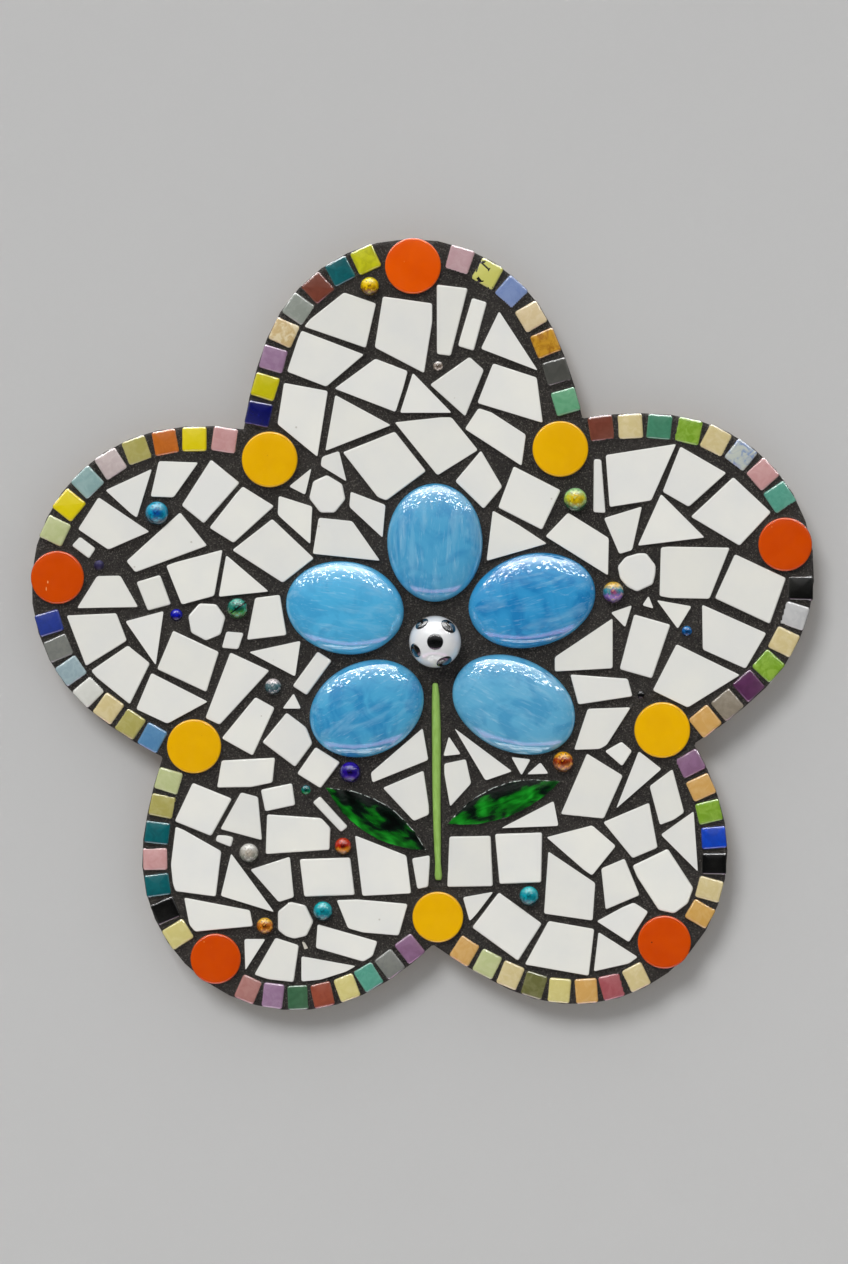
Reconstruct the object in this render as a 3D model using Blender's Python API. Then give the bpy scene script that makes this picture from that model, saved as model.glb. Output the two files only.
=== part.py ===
# Flower-shaped mosaic wall panel. A board with five round lobes carries a bed of
# dark grout. Broken white tile fills it, small square tiles run round its edge,
# round discs sit at the tips and notches, and a flower of glass gems grows on a
# glass stem with two leaves.
#
# It is laid out flat on its back, x to the right and y up the panel, with z as
# the height in front of the wall. An empty then stands it upright.

import math

import bmesh
import bpy
from mathutils import Matrix, Vector

mm = 0.001

# Layers, from the wall outwards
board_thickness = 12 * mm
adhesive_gap = 0.3 * mm
grout_thickness = 2.7 * mm
tile_thickness = 4 * mm
tile_bedding = 0.6 * mm

# Joints and clearances in the plane of the panel
grout_joint = 1.7 * mm
pocket_clearance = 0.3 * mm
shard_clearance = 1.2 * mm
border_joint = 1.3 * mm
shortest_shard_edge = 2.6 * mm
furthest_point = 0.8 * mm
shortest_edge_share = 0.35
smallest_shard_width = 1.2 * mm
round_shard_sides = 7
edge_facet = 12

# Border tiles and discs
square_side = 9.5 * mm
square_gap = 0.6 * mm
square_edge_margin = 0.3 * mm
disc_radius = 10.7 * mm
disc_thickness = 5 * mm
disc_rim_round = 0.8 * mm
disc_overhang = 0.2 * mm
disc_joint = 0.6 * mm
disc_sides = 16
disc_sharp_angle = 40

# Glass of the flower
gem_height = 11 * mm
gem_waist = 3.5 * mm
gem_sides = 20
gem_rings = 6
centre_bead_radius = 10 * mm
centre_bead_seat = 2 * mm
gem_sharp_angle = 50
stem_radius = 1.65 * mm
stem_roundness = 2
leaf_thickness = 4.2 * mm
leaf_tip_clearances = 2
bead_sides = 8
bead_pocket_sides = 6
bead_rings = 4

# Outline of the panel
lobe_steps = 18
path_steps = 240
merge_distance = 0.001 * mm
parallel = 0.05
flare_share = 0.16

# Corners where two lobes meet, in millimetres, and how far inside each, and on what
# bearing in degrees, its disc sits
notches = {
    "top_right": {"corner": (61.1, 88.3), "disc_inset": 14.5, "disc_bearing": 234},
    "top_left": {"corner": (-68.7, 84.1), "disc_inset": 15.3, "disc_bearing": -49},
    "left": {"corner": (-99.7, -41.4), "disc_inset": 12.8, "disc_bearing": 19},
    "bottom": {"corner": (3.8, -113.2), "disc_inset": 10.8, "disc_bearing": 80},
    "right": {"corner": (103.7, -36.4), "disc_inset": 13.3, "disc_bearing": 156},
}

# Discs that are smaller than disc_radius, as a share of it
small_discs = {
    "orange_disc_left": 0.95,
    "orange_disc_lower_left": 0.9,
    "orange_disc_lower_right": 0.95,
    "orange_disc_right": 0.96,
    "yellow_disc_left": 0.97,
    "yellow_disc_bottom": 0.91,
}

# Lobes in millimetres, anticlockwise: the centre, the radii at the first flank, the tip
# and the second flank, the spacing of the squares on each flank, and the bearing of
# the tip's disc in degrees
lobes = {
    "top": {
        "centre": (-4.1, 95.5),
        "radii": (60.0, 61.6, 60.0),
        "spacing": (11.8, 10.8),
        "disc_bearing": 89.7,
    },
    "left": {
        "centre": (-88.2, 24.7),
        "radii": (60.0, 61.6, 62.5),
        "spacing": (11.3, 10.2),
        "disc_bearing": 177.0,
    },
    "lower_left": {
        "centre": (-49.7, -79.2),
        "radii": (57.4, 58.7, 60.0),
        "spacing": (10.2, 9.6),
        "disc_bearing": 233.0,
    },
    "lower_right": {
        "centre": (57.7, -76.9),
        "radii": (58.8, 59.4, 58.6),
        "spacing": (10.0, 10.0),
        "disc_bearing": -45.5,
    },
    "right": {
        "centre": (86.0, 28.2),
        "radii": (62.0, 64.0, 61.5),
        "spacing": (10.8, 11.1),
        "disc_bearing": 12.7,
    },
}

# Petals in millimetres and degrees: place, length, width, turn
petals = {
    "top": (4.6, 40.8, 46, 37, 90),
    "upper_left": (-29.9, 15.8, 46, 36, -10),
    "upper_right": (41.7, 18.5, 50, 36, 15),
    "lower_left": (-21.5, -22.8, 46, 36, 25),
    "lower_right": (34.8, -21.3, 50, 36, -25),
}
centre_bead_place = (4.6, 2.8)

# Stem from its top to its foot, with its width there as a share of stem_radius
stem = (((4.4, -13.5), 0.75), ((4.9, -40), 1.0), ((5.4, -70), 1.0), ((5.9, -88.5), 1.15))

# Leaves in millimetres: the two tips, and how far each edge bows from the line between
leaves = {
    "left": {"tips": ((-37.2, -53.0), (1.2, -77.0)), "bows": (6.5, 6.5)},
    "right": {"tips": ((9.4, -67.2), (52.4, -50.8)), "bows": (7.0, 5.4)},
}
leaf_steps = 10

# Loose beads in millimetres: place, diameter and glass
beads = {
    "bead_rose_top": (5.7, 108.3, 4.4, "rose"),
    "bead_lime_upper_right": (58.3, 57.2, 9, "lime"),
    "bead_rainbow_right": (72.8, 21.7, 8.3, "rainbow"),
    "bead_blue_right": (101, 6.8, 4.5, "blue"),
    "bead_black_right": (83.4, -17.6, 4, "black"),
    "bead_amber_right": (53.6, -43.2, 8, "amber"),
    "bead_teal_lower_right": (40.6, -94.5, 7.5, "teal"),
    "bead_teal_lower_left": (-38.3, -100.3, 7.5, "teal"),
    "bead_amber_lower_left": (-60.5, -106, 6.5, "amber"),
    "bead_red_lower_left": (-30.6, -75.4, 6.5, "red"),
    "bead_pearl_lower_left": (-66.6, -78.1, 7.5, "pearl"),
    "bead_green_left_of_leaf": (-44.8, -54, 4.4, "green"),
    "bead_purple_left_of_stem": (-27.9, -47.1, 8, "purple"),
    "bead_silver_left": (-57.4, -14.5, 6.5, "silver"),
    "bead_green_left": (-71, 15.5, 8, "green"),
    "bead_blue_left": (-94.4, 13, 5, "blue"),
    "bead_teal_upper_left": (-101.8, 52, 9, "teal"),
    "bead_plum_far_left": (-124, 32, 4.5, "plum"),
}

# A bead beside the border: its lobe, bearing in degrees, how far inside the edge in
# millimetres, diameter and glass
edge_beads = {
    "bead_yellow_top": ("top", 110.6, 15.2, 7.2, "yellow"),
}

# Broken white tile, one row to a shard, in millimetres and degrees: place, length, width
# of the near end, turn, the far end's width as a share of the near end's, and how far the
# ends lean out of square
top_shards = (
    (-29.1, 126.9, 18, 26, 56, 0.5, 15),
    (-39.6, 110.3, 17.2, 26, -125, 0.62, 14),
    (-7.2, 122, 20.5, 19.8, -18, 1.36, 9),
    (9.1, 125.7, 26.5, 13.3, -97, 0.5, 0),
    (19, 124.3, 19.3, 6.5, 74, 0.93, -1),
    (31.1, 120, 19, 23.4, 102, 0.06, -33),
    (-17, 101.9, 16.9, 25.6, 54, 0.52, 15),
    (-1.4, 97.6, 16.2, 21.2, 108, 0.06, -18),
    (15, 102.2, 18.1, 18.2, 52, 0.41, -4),
    (34.4, 97.6, 18.1, 28, 85, 0.63, -13),
    (-46.1, 90, 18.6, 26.2, 154, 0.62, 17),
    (-23.7, 85.7, 23.7, 22.2, -3, 0.07, -7),
    (6.6, 79.6, 20.6, 26.4, 18, 0.62, 21),
    (28.8, 82.4, 11.2, 26, 70, 0.8, -13),
    (-14, 70.7, 21, 19.6, -151, 1.28, 9),
    (21.7, 64.3, 16.5, 15.8, -52, 0.71, 12),
    (40.3, 57.8, 17.1, 19.4, 67, 1.07, -4),
    (36.5, 41.9, 22.2, 19.7, -7, 0.08, 0),
    (61.1, 41.5, 13.9, 28.8, 69, 0.62, -11),
)
upper_left_shards = (
    (-34.5, 70.4, 9, 13.6, 171, 0.29, 23),
    (-47.4, 63.1, 8, 10.7, -167, 0.1, -23),
    (-21.4, 53.9, 15.7, 14.3, 147, 0.52, 28),
    (-31.5, 42.3, 15.2, 26.3, 106, 0.5, -22),
    (-49.2, 51.2, 15.1, 14.5, 149, 0.5, 28),
    (-56.1, 37.2, 22.5, 20.5, -38, 0.79, -14),
    (-70.1, 51, 20.6, 11, 47, 1.32, 11),
)
left_shards = (
    (-114.1, 60.1, 15, 19.9, 175, 0.07, -12),
    (-96.7, 64.9, 14.9, 15.2, -115, 0.58, 23),
    (-81.8, 59.7, 20.8, 11.3, 53, 1.28, -2),
    (-120.2, 46.8, 15.5, 23.8, -141, 0.59, 17),
    (-99.7, 38.6, 28.1, 16.9, -149, 0.35, 8),
    (-129.7, 38.9, 4.7, 8.4, 52, 0.9, 1),
    (-120.5, 21.9, 12.2, 23.5, 88, 0.38, 3),
    (-103, 21.4, 12.1, 9.2, 111, 1.04, -4),
    (-86.6, 26.7, 17, 23, -85, 0.57, 10),
    (-72, 28.1, 15.7, 19.8, 114, 0.06, -18),
    (-124, 5.8, 18.3, 20.8, 17, 0.54, 4),
    (-104.8, 4, 18, 15.8, -77, 0.1, 2),
    (-73, 3.1, 7, 7, -106, 0.91, 11),
    (-59.4, 12.3, 15.8, 16, 89, 0.64, 8),
    (-114.3, -8.5, 17.1, 19.9, 49, 0.55, 2),
    (-89.7, -4.4, 16.3, 21.2, 70, 0.93, -5),
    (-98.6, -20.3, 15.7, 24.3, -134, 0.53, 17),
    (-73.6, -16.2, 27.1, 17, -122, 0.38, 7),
    (-57, -2.2, 19.4, 15, 174, 0.14, -6),
    (-42.6, -9.2, 16.4, 7, 54, 1, 3),
    (-49.9, -20.3, 5.6, 7.5, 83, 0.1, 7),
    (-65.4, -29.2, 20.2, 14.6, 58, 0.64, 3),
)
right_shards = (
    (67.2, 62.4, 20.5, 4.8, 92, 0.62, -6),
    (81.4, 65.9, 21.3, 27.4, -101, 0.59, 20),
    (101.9, 64.7, 18.9, 20.4, -125, 0.56, 5),
    (120, 51.4, 23.2, 22.3, -36, 0.8, -11),
    (93.2, 49.5, 18.2, 26.5, 102, 0.05, -5),
    (76.8, 44.1, 16.5, 16.3, -86, 0.33, 13),
    (101.9, 29.2, 20.1, 27, -102, 0.73, 11),
    (125.8, 23.3, 19, 23.3, 68, 0.93, -3),
    (96.5, 13.3, 10.3, 15.7, -82, 0.1, -18),
    (86.4, 17.9, 3.8, 5, 87, 0.2, -13),
    (75.2, 12.8, 6.9, 9.8, 168, 0.1, -5),
    (117.2, 3.8, 15.9, 18, 76, 1.5, -10),
    (101.9, -11.6, 21, 27.1, -134, 0.55, 18),
    (84.6, 0.9, 21.8, 13, 73, 1.12, 1),
    (61.5, -2, 23.6, 19.5, -160, 0.3, -20),
    (69.2, -15.1, 22.7, 12, 2, 0.56, 13),
    (67.4, -30.6, 17.8, 16.5, -116, 0.7, 28),
    (75.1, -39.3, 7, 9.8, 43, 0.65, 6),
)
lower_left_shards = (
    (-84, -61, 18.4, 15.3, 63, 1.08, 5),
    (-87.2, -83, 19, 25, -19, 0.7, 12),
    (-68.1, -63.7, 16.3, 17.1, 78, 0.4, -3),
    (-68.5, -47.1, 12.2, 21.8, -101, 1.1, 14),
    (-51, -35, 15.6, 15.9, 52, 0.95, 1),
    (-39.9, -45.4, 12.8, 10.8, 54, 1.05, 4),
    (-55.5, -56.5, 10.5, 12, 100, 1.05, 2),
    (-47.9, -71, 24.8, 15.6, 0, 0.78, -2),
    (-35.7, -64.5, 17.4, 6.4, 133, 1.05, -3),
    (-15.1, -84.1, 19.5, 24.4, -10, 0.64, 17),
    (-36.6, -87.7, 16.2, 19.4, 97, 1, -5),
    (-55.3, -89.2, 15.9, 16, -66, 0.36, -6),
    (-70.3, -87.9, 20.4, 21.4, 108, 0.06, -35),
    (-76, -73, 6.4, 2.4, -12, 1.9, -3),
    (-77.6, -102.4, 25.2, 13.5, -3, 0.45, 14),
    (-19.2, -102.5, 12.8, 28, -86, 0.68, -9),
    (-29.8, -112.5, 10, 24.5, -101, 0.9, -5),
    (-54.4, -119.2, 16.9, 15.8, 71, 0.59, 1),
    (-66.9, -117, 12.6, 9.6, -107, 0.28, 17),
    (-35.9, -122.8, 21.3, 11.2, 2, 0.18, -2),
    (-0.4, -85.5, 12, 7.2, -87, 0.6, 7),
    (-9.4, -42.6, 24.4, 12.9, -148, 0.33, -22),
    (-4, -57.2, 16.4, 17, -64, 0.4, -3),
)
lower_right_shards = (
    (18, -81.3, 19.4, 17.6, 90, 0.9, 1),
    (37, -80.4, 19.9, 18.3, -88, 0.88, 0),
    (62.8, -75.7, 15.7, 23.5, 31, 0.54, 18),
    (56.4, -92.8, 20, 24.5, -22, 0.61, 18),
    (41, -64.7, 23.4, 12.1, -165, 0.2, -4),
    (65, -54.5, 16.6, 18, 164, 1.5, -9),
    (80.5, -51.5, 23.2, 11.7, -125, 0.22, -3),
    (93.3, -57.4, 10.6, 15.4, 29, 1.2, -14),
    (81.2, -70.1, 17.7, 19.6, -65, 0.54, -2),
    (97.7, -71.7, 13.6, 24.6, 169, 0.06, 15),
    (92.8, -89.5, 15.8, 24.5, 31, 0.88, 2),
    (75, -89.6, 15.8, 15.2, 104, 0.7, 9),
    (78.2, -103.6, 14.3, 15.4, 42, 0.5, 15),
    (32.4, -106, 17, 21.9, 55, 0.94, -1),
    (19.5, -99.1, 10.8, 12, -108, 0.1, 28),
    (54.2, -114.3, 18.2, 25.4, 72, 0.72, 8),
    (74.8, -117.3, 17.9, 15.5, -9, 0.08, 1),
    (13.2, -49, 10.5, 17, 35, 0.65, -25),
    (10.7, -37.4, 6.6, 7.3, 102, 0.1, -6),
    (20, -39.6, 25, 11.8, 133, 0.3, -24),
    (37.6, -44.7, 6.1, 7.7, -88, 0.1, -9),
    (44, -46, 4.9, 10, 77, 0.12, 15),
)

# Shards nipped nearly round, in millimetres and degrees: place, width, turn
round_shards = (
    (-37, 59, 15.2, 38),
    (-82.7, 10.6, 15, 10),
    (82, 29.7, 15.6, 12),
    (-49.2, -104, 15, 0),
)
shards = (
    top_shards + upper_left_shards + left_shards + right_shards
    + lower_left_shards + lower_right_shards
)

stem_widest = stem_radius * max(share for _, share in stem)
bed = board_thickness + adhesive_gap
grout_top = bed + grout_thickness
tile_top = bed + tile_thickness


# Plane geometry

def plan(point):
    return Vector((point[0] * mm, point[1] * mm))


def direction(degrees):
    return Vector((math.cos(math.radians(degrees)), math.sin(math.radians(degrees))))


def bearing(vector):
    return math.degrees(math.atan2(vector.y, vector.x))


# An oval is its centre and the matrix whose reach in any direction is half its width there
def oval(centre, length, width, turn):
    spin = Matrix.Rotation(math.radians(turn), 2)
    stretch = Matrix(((length**2 / 4, 0), (0, width**2 / 4)))
    return centre, spin @ stretch @ spin.transposed()


def oval_of(row):
    x, y, length, width, turn = row[:5]
    return oval(plan((x, y)), length * mm, width * mm, turn)


def reach(shape, towards):
    return math.sqrt(towards.dot(shape[1] @ towards))


def parting_direction(shape, other):
    both = Matrix([a + b for a, b in zip(shape[1], other[1])])
    return (both.inverted() @ (other[0] - shape[0])).normalized()


def trimmed(polygon, normal, limit):
    kept = []
    for i, point in enumerate(polygon):
        before = polygon[i - 1]
        over, over_before = normal.dot(point) - limit, normal.dot(before) - limit
        if (over > 0) != (over_before > 0):
            kept.append(before.lerp(point, over_before / (over_before - over)))
        if over <= 0:
            kept.append(point)
    return kept


# Where the neighbours of a short edge meet, or its middle if they meet far from it
def corner_instead(points, i):
    start, end = points[i - 1], points[i]
    before, after = start - points[i - 2], points[(i + 1) % len(points)] - end
    middle = start.lerp(end, 0.5)
    crossing = before.x * after.y - before.y * after.x
    if abs(crossing) < parallel * before.length * after.length:
        return middle
    gap = end - start
    corner = start + before * (gap.x * after.y - gap.y * after.x) / crossing
    edge = gap.normalized()
    beyond = abs(edge.x * (corner - start).y - edge.y * (corner - start).x)
    return corner if beyond < furthest_point else middle


def without_short_edges(polygon, shortest):
    points = list(polygon)
    while len(points) > 3:
        lengths = [(points[i] - points[i - 1]).length for i in range(len(points))]
        i = lengths.index(min(lengths))
        if lengths[i] >= shortest:
            break
        points[i - 1] = corner_instead(points, i)
        points.pop(i)
    return points


def narrowest_width(polygon):
    widths = []
    for i, point in enumerate(polygon):
        edge = point - polygon[i - 1]
        across = Vector((-edge.y, edge.x)).normalized()
        widths.append(max(abs(across.dot(other - point)) for other in polygon))
    return min(widths)


def edge_normals(polygon):
    edges = [point - polygon[i - 1] for i, point in enumerate(polygon)]
    return [Vector((edge.y, -edge.x)).normalized() for edge in edges]


def furthest(polygon, towards):
    return max(towards.dot(point) for point in polygon)


def nearest(polygon, towards):
    return min(towards.dot(point) for point in polygon)


def unit_ring(sides):
    return [direction(360 * i / sides) for i in range(sides)]


# Outline of the panel

def lobe_spans():
    names = list(notches)
    spans = {}
    for i, (name, lobe) in enumerate(lobes.items()):
        centre = plan(lobe["centre"])
        first = plan(notches[names[i]]["corner"]) - centre
        last = plan(notches[names[(i + 1) % len(names)]]["corner"]) - centre
        start = bearing(first)
        spans[name] = (centre, start, (bearing(last) - start) % 360, first.length, last.length)
    return spans


# A lobe is nearly round, and flares out to the corner that it shares with the next
def lobe_point(name, share, inset=0.0):
    centre, start, span, first_corner, last_corner = lobe_spans()[name]
    first, tip, last = (radius * mm for radius in lobes[name]["radii"])
    flank = first + (last - first) * share
    radius = flank + (tip - (first + last) / 2) * math.sin(math.pi * share) ** 2
    near_first = max(0, 1 - share / flare_share) ** 2
    near_last = max(0, 1 - (1 - share) / flare_share) ** 2
    radius += (first_corner - first) * near_first + (last_corner - last) * near_last
    return centre + (radius - inset) * direction(start + span * share)


def share_at(name, bearing_from_centre):
    _, start, span, _, _ = lobe_spans()[name]
    return ((bearing_from_centre - start) % 360) / span


def outline():
    return [
        lobe_point(name, step / lobe_steps)
        for name in lobes
        for step in range(lobe_steps)
    ]


# Discs, one at each lobe's tip and one inside each notch

def disc_share(name):
    return small_discs.get(name, 1)


def tip_share(name):
    return share_at(name, lobes[name]["disc_bearing"])


def tip_disc_centre(name):
    radius = disc_radius * disc_share("orange_disc_" + name)
    return lobe_point(name, tip_share(name), radius - disc_overhang)


def notch_disc_centre(name):
    notch = notches[name]
    return plan(notch["corner"]) + notch["disc_inset"] * mm * direction(notch["disc_bearing"])


def disc_centres():
    centres = {"orange_disc_" + name: tip_disc_centre(name) for name in lobes}
    for name in notches:
        centres["yellow_disc_" + name] = notch_disc_centre(name)
    return centres


# Border squares, spread evenly along each stretch of edge between two discs

def clear_path(name, first_share, last_share, discs):
    inset = square_side / 2 + square_edge_margin
    path = []
    for step in range(path_steps + 1):
        share = first_share + (last_share - first_share) * step / path_steps
        middle = lobe_point(name, share, inset)
        inner = lobe_point(name, share, inset + square_side / 2)
        nearest = min((point - disc).length for point in (middle, inner) for disc in discs)
        if nearest >= disc_radius + disc_joint:
            path.append(middle)
    return path


def spread_along(path, spacing):
    lengths = [0.0]
    for before, point in zip(path, path[1:]):
        lengths.append(lengths[-1] + (point - before).length)
    count = max(1, round(lengths[-1] / spacing))
    places = []
    for i in range(count):
        wanted = lengths[-1] * (i + 0.5) / count
        at = next(k for k, length in enumerate(lengths) if length >= wanted)
        along = (path[at] - path[at - 1]).normalized()
        places.append((path[at], along, lengths[-1] / count))
    return places


def border_squares():
    corners = list(notches)
    squares = []
    for i, name in enumerate(lobes):
        tip = tip_disc_centre(name)
        ends = (notch_disc_centre(corners[i]), notch_disc_centre(corners[(i + 1) % len(corners)]))
        flanks = ((0, tip_share(name)), (tip_share(name), 1))
        for end, flank, spacing in zip(ends, flanks, lobes[name]["spacing"]):
            path = clear_path(name, *flank, (tip, end))
            inner_share = 1 - square_side / 2 / (lobes[name]["radii"][1] * mm - square_side / 2)
            for centre, along, pitch in spread_along(path, spacing * mm):
                across = Vector((-along.y, along.x)) * square_side / 2
                along = along * min(square_side, pitch * inner_share - square_gap) / 2
                squares.append([
                    centre + a * along + b * across
                    for a, b in ((-1, -1), (1, -1), (1, 1), (-1, 1))
                ])
    return squares


# Beads: place, diameter and glass of each

def bead_rows():
    rows = {name: (plan(row), row[2] * mm, row[3]) for name, row in beads.items()}
    for name, (lobe, aim, inset, diameter, glass) in edge_beads.items():
        rows[name] = (lobe_point(lobe, share_at(lobe, aim), inset * mm), diameter * mm, glass)
    return rows


# Broken tile: where two pieces would come too close, a straight joint along an edge of
# one of them cuts both back

def round_pieces():
    pieces = [oval_of(row) for row in petals.values()]
    around = 2 * centre_bead_radius
    pieces.append(oval(plan(centre_bead_place), around, around, 0))
    pieces += [oval(place, around, around, 0) for place, around, _ in bead_rows().values()]
    for name, centre in disc_centres().items():
        around = 2 * disc_radius * disc_share(name)
        pieces.append(oval(centre, around, around, 0))
    for leaf in leaves.values():
        near, far = (plan(tip) for tip in leaf["tips"])
        width = sum(leaf["bows"]) * mm
        middle = near.lerp(far, 0.5)
        pieces.append(oval(middle, (far - near).length, width, bearing(far - near)))
    return pieces


# How far a shard beside the stem may reach towards it
def stem_limit(centre):
    top, foot = plan(stem[0][0]), plan(stem[-1][0])
    across = Vector((foot.y - top.y, top.x - foot.x)).normalized()
    towards = across if across.dot(top - centre) > 0 else -across
    return towards, towards.dot(top) - stem_widest - shard_clearance


# How far a shard may reach towards the edge of each lobe that it lies in
def edge_limits(centre):
    border = square_edge_margin + square_side + border_joint
    limits = []
    for name, (lobe_centre, start, span, _, _) in lobe_spans().items():
        middle = (bearing(centre - lobe_centre) - start) % 360
        if middle > span:
            continue
        for turn in (max(0, middle - edge_facet), middle, min(span, middle + edge_facet)):
            outwards = direction(start + turn)
            limits.append((outwards, outwards.dot(lobe_point(name, turn / span, border))))
    return limits


def shard_blank(row):
    x, y, length, width, turn, far_share, lean = row
    along = direction(turn) * length * mm / 2
    across = direction(turn + 90 + lean) * width * mm / 2
    near, far = plan((x, y)) - along, plan((x, y)) + along
    return [near - across, far - across * far_share, far + across * far_share, near + across]


def round_blank(row):
    x, y, around, turn = row
    return [
        plan((x, y)) + direction(turn + 360 * i / round_shard_sides) * around * mm / 2
        for i in range(round_shard_sides)
    ]


def joint_beside(blank, other):
    def gap_along(normal):
        return nearest(other, normal) - furthest(blank, normal)

    normal = max(edge_normals(blank) + [-n for n in edge_normals(other)], key=gap_along)
    middle = (nearest(other, normal) + furthest(blank, normal)) / 2
    return normal, middle - grout_joint / 2


def limit_beside(blank, shape, round_piece):
    def end_along(normal):
        return normal.dot(round_piece[0]) - reach(round_piece, normal)

    def gap_along(normal):
        return end_along(normal) - furthest(blank, normal)

    normal = max([*edge_normals(blank), parting_direction(shape, round_piece)], key=gap_along)
    return normal, end_along(normal) - shard_clearance


def shard_outlines():
    shapes = [oval_of(row) for row in shards]
    shapes += [oval(plan(row), row[2] * mm, row[2] * mm, 0) for row in round_shards]
    blanks = [shard_blank(row) for row in shards] + [round_blank(row) for row in round_shards]
    fixed = round_pieces()
    outlines = []
    for shape, blank in zip(shapes, blanks):
        centre = shape[0]
        limits = [joint_beside(blank, other) for other in blanks if other is not blank]
        limits += [limit_beside(blank, shape, other) for other in fixed]
        limits += edge_limits(centre)
        if plan(stem[-1][0]).y < centre.y < plan(stem[0][0]).y:
            limits.append(stem_limit(centre))
        polygon = blank
        for normal, limit in limits:
            polygon = trimmed(polygon, normal, limit)
        shortest = min(shortest_shard_edge, shortest_edge_share * narrowest_width(blank))
        polygon = without_short_edges(polygon, shortest)
        if len(polygon) > 2 and narrowest_width(polygon) > smallest_shard_width:
            outlines.append(polygon)
    return outlines


# Glass outlines

def leaf_outline(leaf, widen=0.0):
    near, far = (plan(tip) for tip in leaf["tips"])
    along = (far - near).normalized()
    across = Vector((-along.y, along.x))
    near, far = near - along * widen * leaf_tip_clearances, far + along * widen * leaf_tip_clearances
    points = []
    for first, last, side, bow in ((near, far, -1, leaf["bows"][1]), (far, near, 1, leaf["bows"][0])):
        for step in range(leaf_steps):
            share = step / leaf_steps
            out = (bow * mm + widen) * 4 * share * (1 - share)
            points.append(first.lerp(last, share) + side * out * across)
    return points


def stem_outline(widen):
    places = [(plan(point), share * stem_radius + widen) for point, share in stem]
    down = (places[-1][0] - places[0][0]).normalized()
    across = Vector((-down.y, down.x))
    places[0] = (places[0][0] - down * widen, places[0][1])
    places[-1] = (places[-1][0] + down * widen, places[-1][1])
    right = [place + across * half for place, half in places]
    left = [place - across * half for place, half in places]
    return right + left[::-1]


# A ring of flat sides that lies wholly outside the round shape inside it
def pocket_ring(centre, length, width, turn, sides):
    outside = 1 / math.cos(math.pi / sides)
    along, across = direction(turn), direction(turn + 90)
    return [
        centre
        + along * point.x * (length / 2 + pocket_clearance) * outside
        + across * point.y * (width / 2 + pocket_clearance) * outside
        for point in unit_ring(sides)
    ]


def pocket_outlines():
    pockets = []
    for name, centre in disc_centres().items():
        around = 2 * disc_radius * disc_share(name)
        pockets.append(pocket_ring(centre, around, around, 0, disc_sides))
    for row in petals.values():
        pockets.append(pocket_ring(plan(row), row[2] * mm, row[3] * mm, row[4], gem_sides))
    around = 2 * centre_bead_radius
    pockets.append(pocket_ring(plan(centre_bead_place), around, around, 0, disc_sides))
    for place, around, _ in bead_rows().values():
        pockets.append(pocket_ring(place, around, around, 0, bead_pocket_sides))
    pockets += [leaf_outline(leaf, pocket_clearance) for leaf in leaves.values()]
    pockets.append(stem_outline(pocket_clearance))
    return pockets


# Materials: colour, roughness, metallic and transmission

finishes = {
    "board": ((0.45, 0.36, 0.26), 0.85, 0.0, 0.0),
    "grout": ((0.045, 0.043, 0.042), 0.9, 0.0, 0.0),
    "orange_glaze": ((0.78, 0.19, 0.01), 0.15, 0.0, 0.0),
    "yellow_glaze": ((0.82, 0.53, 0.02), 0.15, 0.0, 0.0),
    "sky_glass": ((0.10, 0.45, 0.72), 0.08, 0.1, 0.2),
    "spotted_glass": ((0.85, 0.85, 0.85), 0.1, 0.0, 0.0),
    "stem_glass": ((0.33, 0.52, 0.14), 0.3, 0.0, 0.0),
    "leaf_glass": ((0.005, 0.07, 0.01), 0.08, 0.0, 0.2),
    "yellow": ((0.80, 0.68, 0.05), 0.1, 0.5, 0.0),
    "rose": ((0.62, 0.50, 0.48), 0.15, 0.6, 0.0),
    "lime": ((0.50, 0.62, 0.10), 0.1, 0.4, 0.0),
    "rainbow": ((0.62, 0.48, 0.45), 0.1, 0.5, 0.0),
    "blue": ((0.02, 0.12, 0.55), 0.1, 0.3, 0.0),
    "black": ((0.01, 0.01, 0.01), 0.1, 0.0, 0.0),
    "amber": ((0.62, 0.30, 0.05), 0.1, 0.6, 0.0),
    "teal": ((0.02, 0.38, 0.48), 0.1, 0.4, 0.0),
    "red": ((0.58, 0.12, 0.03), 0.1, 0.4, 0.0),
    "pearl": ((0.62, 0.62, 0.60), 0.2, 0.4, 0.0),
    "green": ((0.10, 0.42, 0.25), 0.1, 0.4, 0.0),
    "purple": ((0.09, 0.01, 0.36), 0.1, 0.3, 0.0),
    "silver": ((0.42, 0.50, 0.52), 0.15, 0.6, 0.0),
    "plum": ((0.05, 0.03, 0.13), 0.15, 0.2, 0.0),
}


def finish(name):
    if name in bpy.data.materials:
        return bpy.data.materials[name]
    colour, roughness, metallic, transmission = finishes[name]
    material = bpy.data.materials.new(name)
    material.use_nodes = True
    shader = material.node_tree.nodes["Principled BSDF"]
    shader.inputs["Base Color"].default_value = (*colour, 1)
    shader.inputs["Roughness"].default_value = roughness
    shader.inputs["Metallic"].default_value = metallic
    shader.inputs["Transmission Weight"].default_value = transmission
    material.diffuse_color = (*colour, 1)
    return material


# Solids

def clear_scene():
    for obj in list(bpy.data.objects):
        bpy.data.objects.remove(obj)


def new_collection(name, hidden=False):
    collection = bpy.data.collections.new(name)
    collection.hide_render = hidden
    bpy.context.scene.collection.children.link(collection)
    return collection


def place_object(name, data, collection, upright, material=None, location=(0, 0, 0), turn=0):
    obj = bpy.data.objects.new(name, data)
    obj.parent = upright
    obj.location = location
    obj.rotation_euler = (0, 0, math.radians(turn))
    if material:
        data.materials.append(finish(material))
    collection.objects.link(obj)
    return obj


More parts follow.
